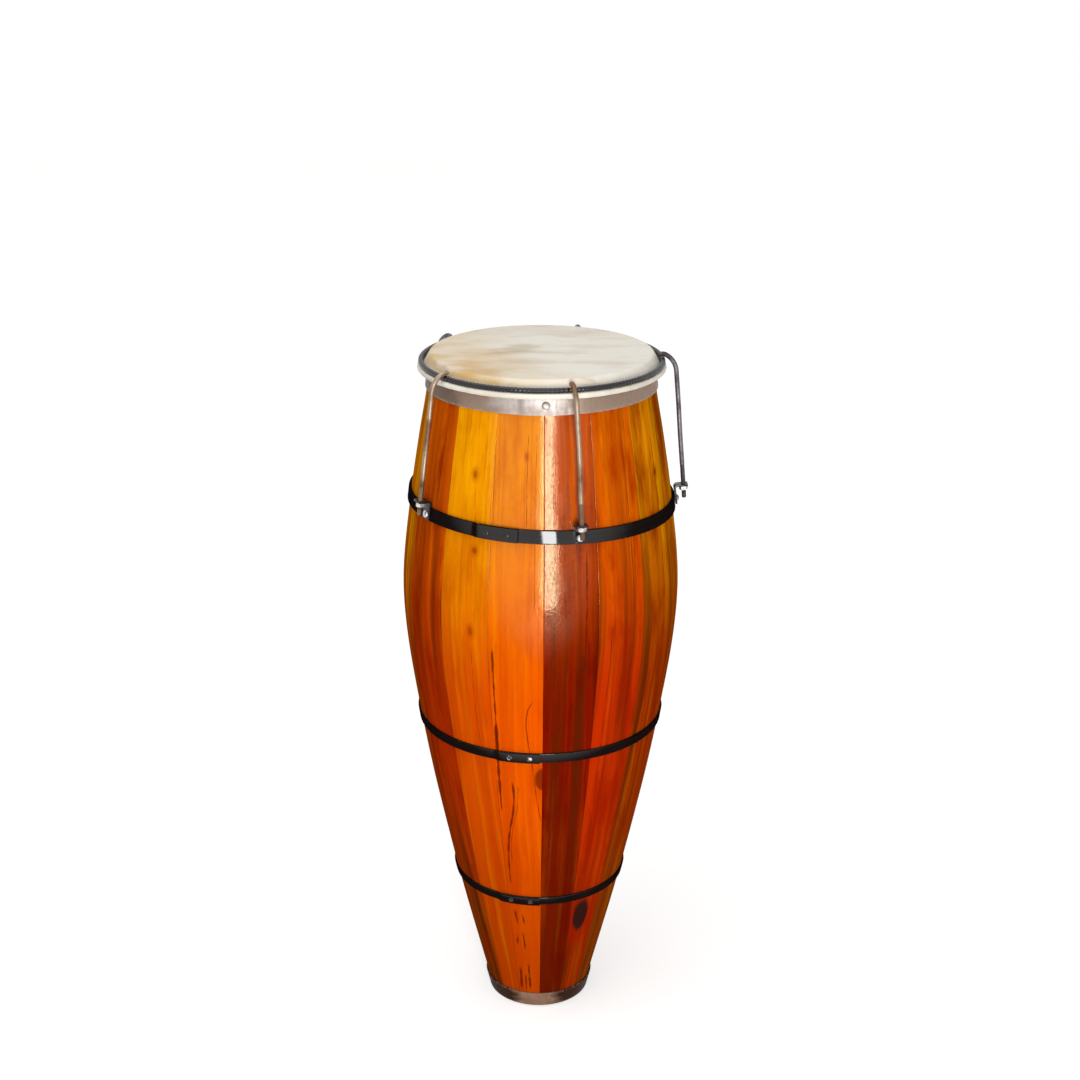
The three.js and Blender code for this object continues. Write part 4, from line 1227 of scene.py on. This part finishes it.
def hook_line(settings, station, stray):
    """Points along the middle of a hook, from the rod's lower end to the hook's tip."""
    middle, axis = nut_line(station)
    bearing = math.atan2(middle.x, -middle.y)
    radial = Vector((math.sin(bearing), -math.cos(bearing), 0))
    side = axis.cross(radial).normalized()
    lean = -side.z
    inward = axis.dot(radial)
    up = np.array((inward, math.sqrt(1 - inward ** 2)))
    out = np.array((up[1], -up[0]))
    nut = np.array((middle.dot(radial), middle.z))
    ring_radius, ring_height = ring_centre("crown_ring", CROWN_ROD_RADIUS)
    bend_radius = CROWN_ROD_RADIUS + settings.clearance + settings.rod_radius
    centre = np.array((ring_radius, ring_height - settings.clearance + 2 * FIT))
    reach = float((nut - centre) @ out)
    bend_height = float((centre - nut) @ up)
    shoulder = settings.shoulder_radius
    ease = shoulder - reach
    drop = math.sqrt((shoulder - bend_radius) ** 2 - ease ** 2)
    turn = math.atan2(drop, ease)
    low = -(settings.nut_height / 2 + settings.tail)
    high = bend_height - drop
    flat = [(0.0, height) for height in np.linspace(low, high, ROD_POINTS, endpoint=False)]
    flat += [
        (-shoulder + shoulder * math.cos(t), high + shoulder * math.sin(t))
        for t in np.linspace(0, turn, SHOULDER_POINTS, endpoint=False)
    ]
    flat += [
        (-reach + bend_radius * math.cos(t), bend_height + bend_radius * math.sin(t))
        for t in np.linspace(turn, settings.wrap, BEND_POINTS)
    ]
    points = []
    for across, along in flat:
        share = min(1, max(0, (along - STRAIGHT_END) / (high - STRAIGHT_END)))
        bend = stray * settings.hand_bend * math.sin(math.pi * share) ** 2
        bow = 0.5 * stray * settings.hand_bend * math.sin(TURN * share) * math.sin(math.pi * share)
        points.append(middle + side.cross(axis) * (across + bow) + axis * along + side * bend)
    return points, bearing, lean


def rod_material(name, steel, rust):
    """Dull rod steel: drawn lengthwise, dark in the thread and rusty in patches."""
    nodes = Finish(name, Metallic=0.7)
    run, groove, turn = nodes.attribute("rod")
    drawn = nodes.noise((nodes.sine(turn) * 3, nodes.cosine(turn) * 3, run * 14), detail=4)
    cloud = nodes.noise(nodes.place(), 34, detail=4, roughness=0.6)
    tone = nodes.layers(
        steel,
        (nodes.smooth(drawn, 0.4, 0.72, 0.0, 0.6), rust),
        (nodes.smooth(cloud, 0.48, 0.68, 0.0, 0.85), rust),
        (groove * 0.8, toned(rust, 0.35)),
    )
    return nodes.patterned(
        Base_Color=tone, Roughness=nodes.smooth(cloud, 0.35, 0.7, 0.32, 0.62),
        Normal=nodes.bump(drawn + cloud, 0.0002),
    )


class ATABAQUE_OT_hooks(bpy.types.Operator):
    """Build the five hooked and threaded tension rods"""

    bl_idname = "atabaque.hooks"
    bl_label = "Hooks"

    def execute(self, context):
        settings = context.scene.atabaque_hooks
        tree = hook_tree()
        pale = rod_material("rod_steel", settings.steel, settings.rust)
        # Darker copy of the rod steel: painted shade on the right and rear rods.
        dark = rod_material("dark_rod_steel", settings.dark_steel, settings.shaded_rust)
        for station, stray in STRAYS.items():
            points, bearing, lean = hook_line(settings, station, stray)
            mesh = grow(tree, settings, {
                "Length": sum((b - a).length for a, b in zip(points, points[1:])),
                "Bearing": bearing,
                "Lean": lean,
                "Material": pale if station in PALE_RODS else dark,
            }, line_mesh(points))
            add_piece(f"hook_rod_{station}", mesh, f"{station}_hook", "rod_steel", f"hook_{station}")
        return {"FINISHED"}


def nut_mesh(settings, material, station):
    """A hex nut with both ends turned to a cone, on a station's rod."""
    middle, axis = nut_line(station)
    radial = Vector((middle.x, middle.y, 0)).normalized()
    first = (radial - axis * radial.dot(axis)).normalized()
    second = axis.cross(first)
    half = settings.nut_height / 2
    flat = settings.rod_radius + settings.nut_wall
    face = flat * NUT_FACE
    hole = settings.rod_radius + FIT
    mouth = hole + NUT_LEAD
    points = []
    for i in range(NUT_SIDES):
        turn = TURN * i / NUT_SIDES
        spoke = first * math.cos(turn) + second * math.sin(turn)
        corner = flat / math.cos((turn % (TURN / 6)) - TURN / 12)
        taper = (corner - face) * math.tan(NUT_CONE)
        ring = [
            (face, half), (corner, half - taper), (corner, taper - half), (face, -half),
            (mouth, -half), (hole, NUT_LEAD - half), (hole, half - NUT_LEAD), (mouth, half),
        ]
        points += [middle + spoke * radius + axis * height for radius, height in ring]
    around = len(ring)
    faces = []
    for i in range(NUT_SIDES):
        a, b = i * around, (i + 1) % NUT_SIDES * around
        for k in range(around):
            n = (k + 1) % around
            faces.append((a + k, a + n, b + n, b + k))
    return plain_mesh(points, faces=faces, material=material)


class ATABAQUE_OT_nuts(bpy.types.Operator):
    """Build the hex nut under each bracket"""

    bl_idname = "atabaque.nuts"
    bl_label = "Nuts"

    def execute(self, context):
        settings = context.scene.atabaque_hooks
        hoops = context.scene.atabaque_hoops
        material = metal_material("zinc_nut", hoops.zinc, hoops.worn, 0.35, 140)
        for station in STATIONS:
            mesh = nut_mesh(settings, material, station)
            add_piece(f"hex_nut_{station}", mesh, f"{station}_nut", "zinc", f"nut_{station}")
        return {"FINISHED"}


def bracket_mesh(settings, material, station):
    """A copy of the bent plate with its cut edges rounded."""
    plate = bmesh.new()
    plate.from_mesh(frame["nodes"][f"bracket_{station}"].data)
    bmesh.ops.remove_doubles(plate, verts=plate.verts, dist=MERGE)
    bmesh.ops.dissolve_limit(plate, angle_limit=FLAT_ANGLE, verts=plate.verts, edges=plate.edges)
    cut = [edge for edge in plate.edges if edge.is_manifold and edge.calc_face_angle() > CUT_ANGLE]
    bmesh.ops.bevel(
        plate, geom=cut, offset=settings.bracket_edge, segments=3, profile=0.5, affect="EDGES",
        clamp_overlap=True,
    )
    bmesh.ops.triangulate(plate, faces=[face for face in plate.faces if len(face.verts) > 4])
    mesh = bpy.data.meshes.new("bracket")
    plate.to_mesh(mesh)
    plate.free()
    mesh.materials.clear()
    mesh.materials.append(material)
    return mesh


class ATABAQUE_OT_brackets(bpy.types.Operator):
    """Build the bent plates that hold the rods off the tension hoop"""

    bl_idname = "atabaque.brackets"
    bl_label = "Brackets"

    def execute(self, context):
        settings = context.scene.atabaque_hooks
        material = chipped_paint(context.scene.atabaque_hoops, "black_bracket")
        for station in STATIONS:
            mesh = bracket_mesh(settings, material, station)
            add_piece(f"bent_bracket_{station}", mesh, "shell", "black_paint", f"bracket_{station}")
        return {"FINISHED"}


# Stage

FLOOR_HALF = 8
FILL_REACH = (0.5, 2.6)
WHITE = (1, 1, 1)
SENSOR_WIDTH = 36
# Lights: place, the point that the light faces, width and height
WINDOW_LIGHT = (0.26, -2.25, 0.58), (0, 0, 0.6), (0.44, 0.95)
TOP_LIGHT = (-0.3, -0.4, 2.6), (0, 0, 0.8), (1.6, 1.6)


def backdrop_share(nodes):
    """Full for rays that see the plain white background, and none for rays that light the drum."""
    rays = nodes.add("ShaderNodeLightPath").outputs
    camera, glossy, through = (
        Field(nodes, rays[f"Is {kind} Ray"]) for kind in ("Camera", "Glossy", "Transmission")
    )
    return nodes.clamp(camera + glossy + through)


def floor_material(settings):
    """Pale floor that keeps the drum's shadow and is filled up to the white of the background."""
    material = bpy.data.materials.new("pale_floor")
    material.use_nodes = True
    nodes = Nodes(material.node_tree)
    material.node_tree.nodes.remove(material.node_tree.nodes["Principled BSDF"])
    matt = nodes.add("ShaderNodeBsdfDiffuse", {"Color": settings.floor})
    x, y, _ = nodes.place()
    fill = nodes.smooth(nodes.distance(x, y), *FILL_REACH, settings.near_fill, settings.far_fill)
    glow = nodes.add("ShaderNodeEmission", {"Color": WHITE, "Strength": backdrop_share(nodes) * fill})
    both = nodes.add("ShaderNodeAddShader", {0: matt.outputs[0], 1: glow.outputs[0]})
    nodes.fill(material.node_tree.nodes["Material Output"].inputs["Surface"], both.outputs[0])
    return material


def add_light(name, power, place, target, size):
    lamp = bpy.data.lights.new(name, "AREA")
    lamp.shape = "RECTANGLE"
    lamp.size, lamp.size_y = size
    lamp.energy = power
    light = bpy.data.objects.new(name, lamp)
    light.location = place
    light.rotation_euler = (Vector(target) - Vector(place)).to_track_quat("-Z", "Y").to_euler()
    light.visible_camera = False
    bpy.context.scene.collection.objects.link(light)


class ATABAQUE_OT_stage(bpy.types.Operator):
    """Set the floor, the soft lights and the camera"""

    bl_idname = "atabaque.stage"
    bl_label = "Stage"

    def execute(self, context):
        settings = context.scene.atabaque_stage
        scene = context.scene
        corners = [(x * FLOOR_HALF, y * FLOOR_HALF, 0) for x, y in ((-1, -1), (1, -1), (1, 1), (-1, 1))]
        floor = plain_mesh(corners, faces=[(0, 1, 2, 3)], material=floor_material(settings))
        floor = bpy.data.objects.new("floor", floor)
        scene.collection.objects.link(floor)

        world = bpy.data.worlds.new("surround")
        world.use_nodes = True
        scene.world = world
        nodes = Nodes(world.node_tree)
        soft = world.node_tree.nodes["Background"]
        nodes.fill(soft.inputs["Color"], WHITE)
        soft.inputs["Strength"].default_value = settings.surround
        white = nodes.add("ShaderNodeBackground", {"Color": WHITE, "Strength": 1.0})
        inputs = {0: backdrop_share(nodes), 1: soft.outputs[0], 2: white.outputs[0]}
        mixed = nodes.add("ShaderNodeMixShader", inputs)
        nodes.fill(world.node_tree.nodes["World Output"].inputs["Surface"], mixed.outputs[0])

        add_light("window", settings.window_power, *WINDOW_LIGHT)
        add_light("top", settings.top_power, *TOP_LIGHT)

        camera = bpy.data.objects.new("camera", bpy.data.cameras.new("camera"))
        camera.data.lens = settings.lens
        camera.data.sensor_width = SENSOR_WIDTH
        pitch = Matrix.Rotation(math.pi / 2 - settings.camera_pitch, 4, "X")
        roll = Matrix.Rotation(settings.camera_roll, 4, "Z")
        place = Matrix.Translation((
            -settings.camera_left, -settings.camera_distance, settings.camera_height,
        ))
        camera.matrix_world = place @ pitch @ roll
        scene.collection.objects.link(camera)
        scene.camera = camera
        scene.view_settings.view_transform = "Standard"
        return {"FINISHED"}


PIECES = (
    ATABAQUE_OT_staves, ATABAQUE_OT_hoops, ATABAQUE_OT_rivets, ATABAQUE_OT_rings, ATABAQUE_OT_hide,
    ATABAQUE_OT_hooks, ATABAQUE_OT_nuts, ATABAQUE_OT_brackets, ATABAQUE_OT_stage,
)
SETTINGS = {
    "atabaque_staves": StaveSettings,
    "atabaque_hoops": HoopSettings,
    "atabaque_head": HeadSettings,
    "atabaque_hooks": HookSettings,
    "atabaque_stage": StageSettings,
}


class ATABAQUE_PT_drum(bpy.types.Panel):
    """Lists the drum's pieces and their settings"""

    bl_label = "Atabaque"
    bl_idname = "ATABAQUE_PT_drum"
    bl_space_type = "VIEW_3D"
    bl_region_type = "UI"
    bl_category = "Atabaque"

    def draw(self, context):
        for piece in PIECES:
            self.layout.operator(piece.bl_idname)
        for name, group in SETTINGS.items():
            box = self.layout.box()
            for setting in group.__annotations__:
                box.prop(getattr(context.scene, name), setting)


def register():
    for name, group in SETTINGS.items():
        bpy.utils.register_class(group)
        setattr(bpy.types.Scene, name, PointerProperty(type=group))
    for part in (*PIECES, ATABAQUE_PT_drum):
        bpy.utils.register_class(part)


def unregister():
    for part in (ATABAQUE_PT_drum, *reversed(PIECES)):
        bpy.utils.unregister_class(part)
    for name, group in SETTINGS.items():
        delattr(bpy.types.Scene, name)
        bpy.utils.unregister_class(group)


def main():
    register()
    bpy.ops.atabaque.staves()
    bpy.ops.atabaque.hoops()
    bpy.ops.atabaque.rivets()
    bpy.ops.atabaque.rings()
    bpy.ops.atabaque.hide()
    bpy.ops.atabaque.hooks()
    bpy.ops.atabaque.nuts()
    bpy.ops.atabaque.brackets()
    bpy.ops.atabaque.stage()
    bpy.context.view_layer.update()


if __name__ == "__main__":
    main()
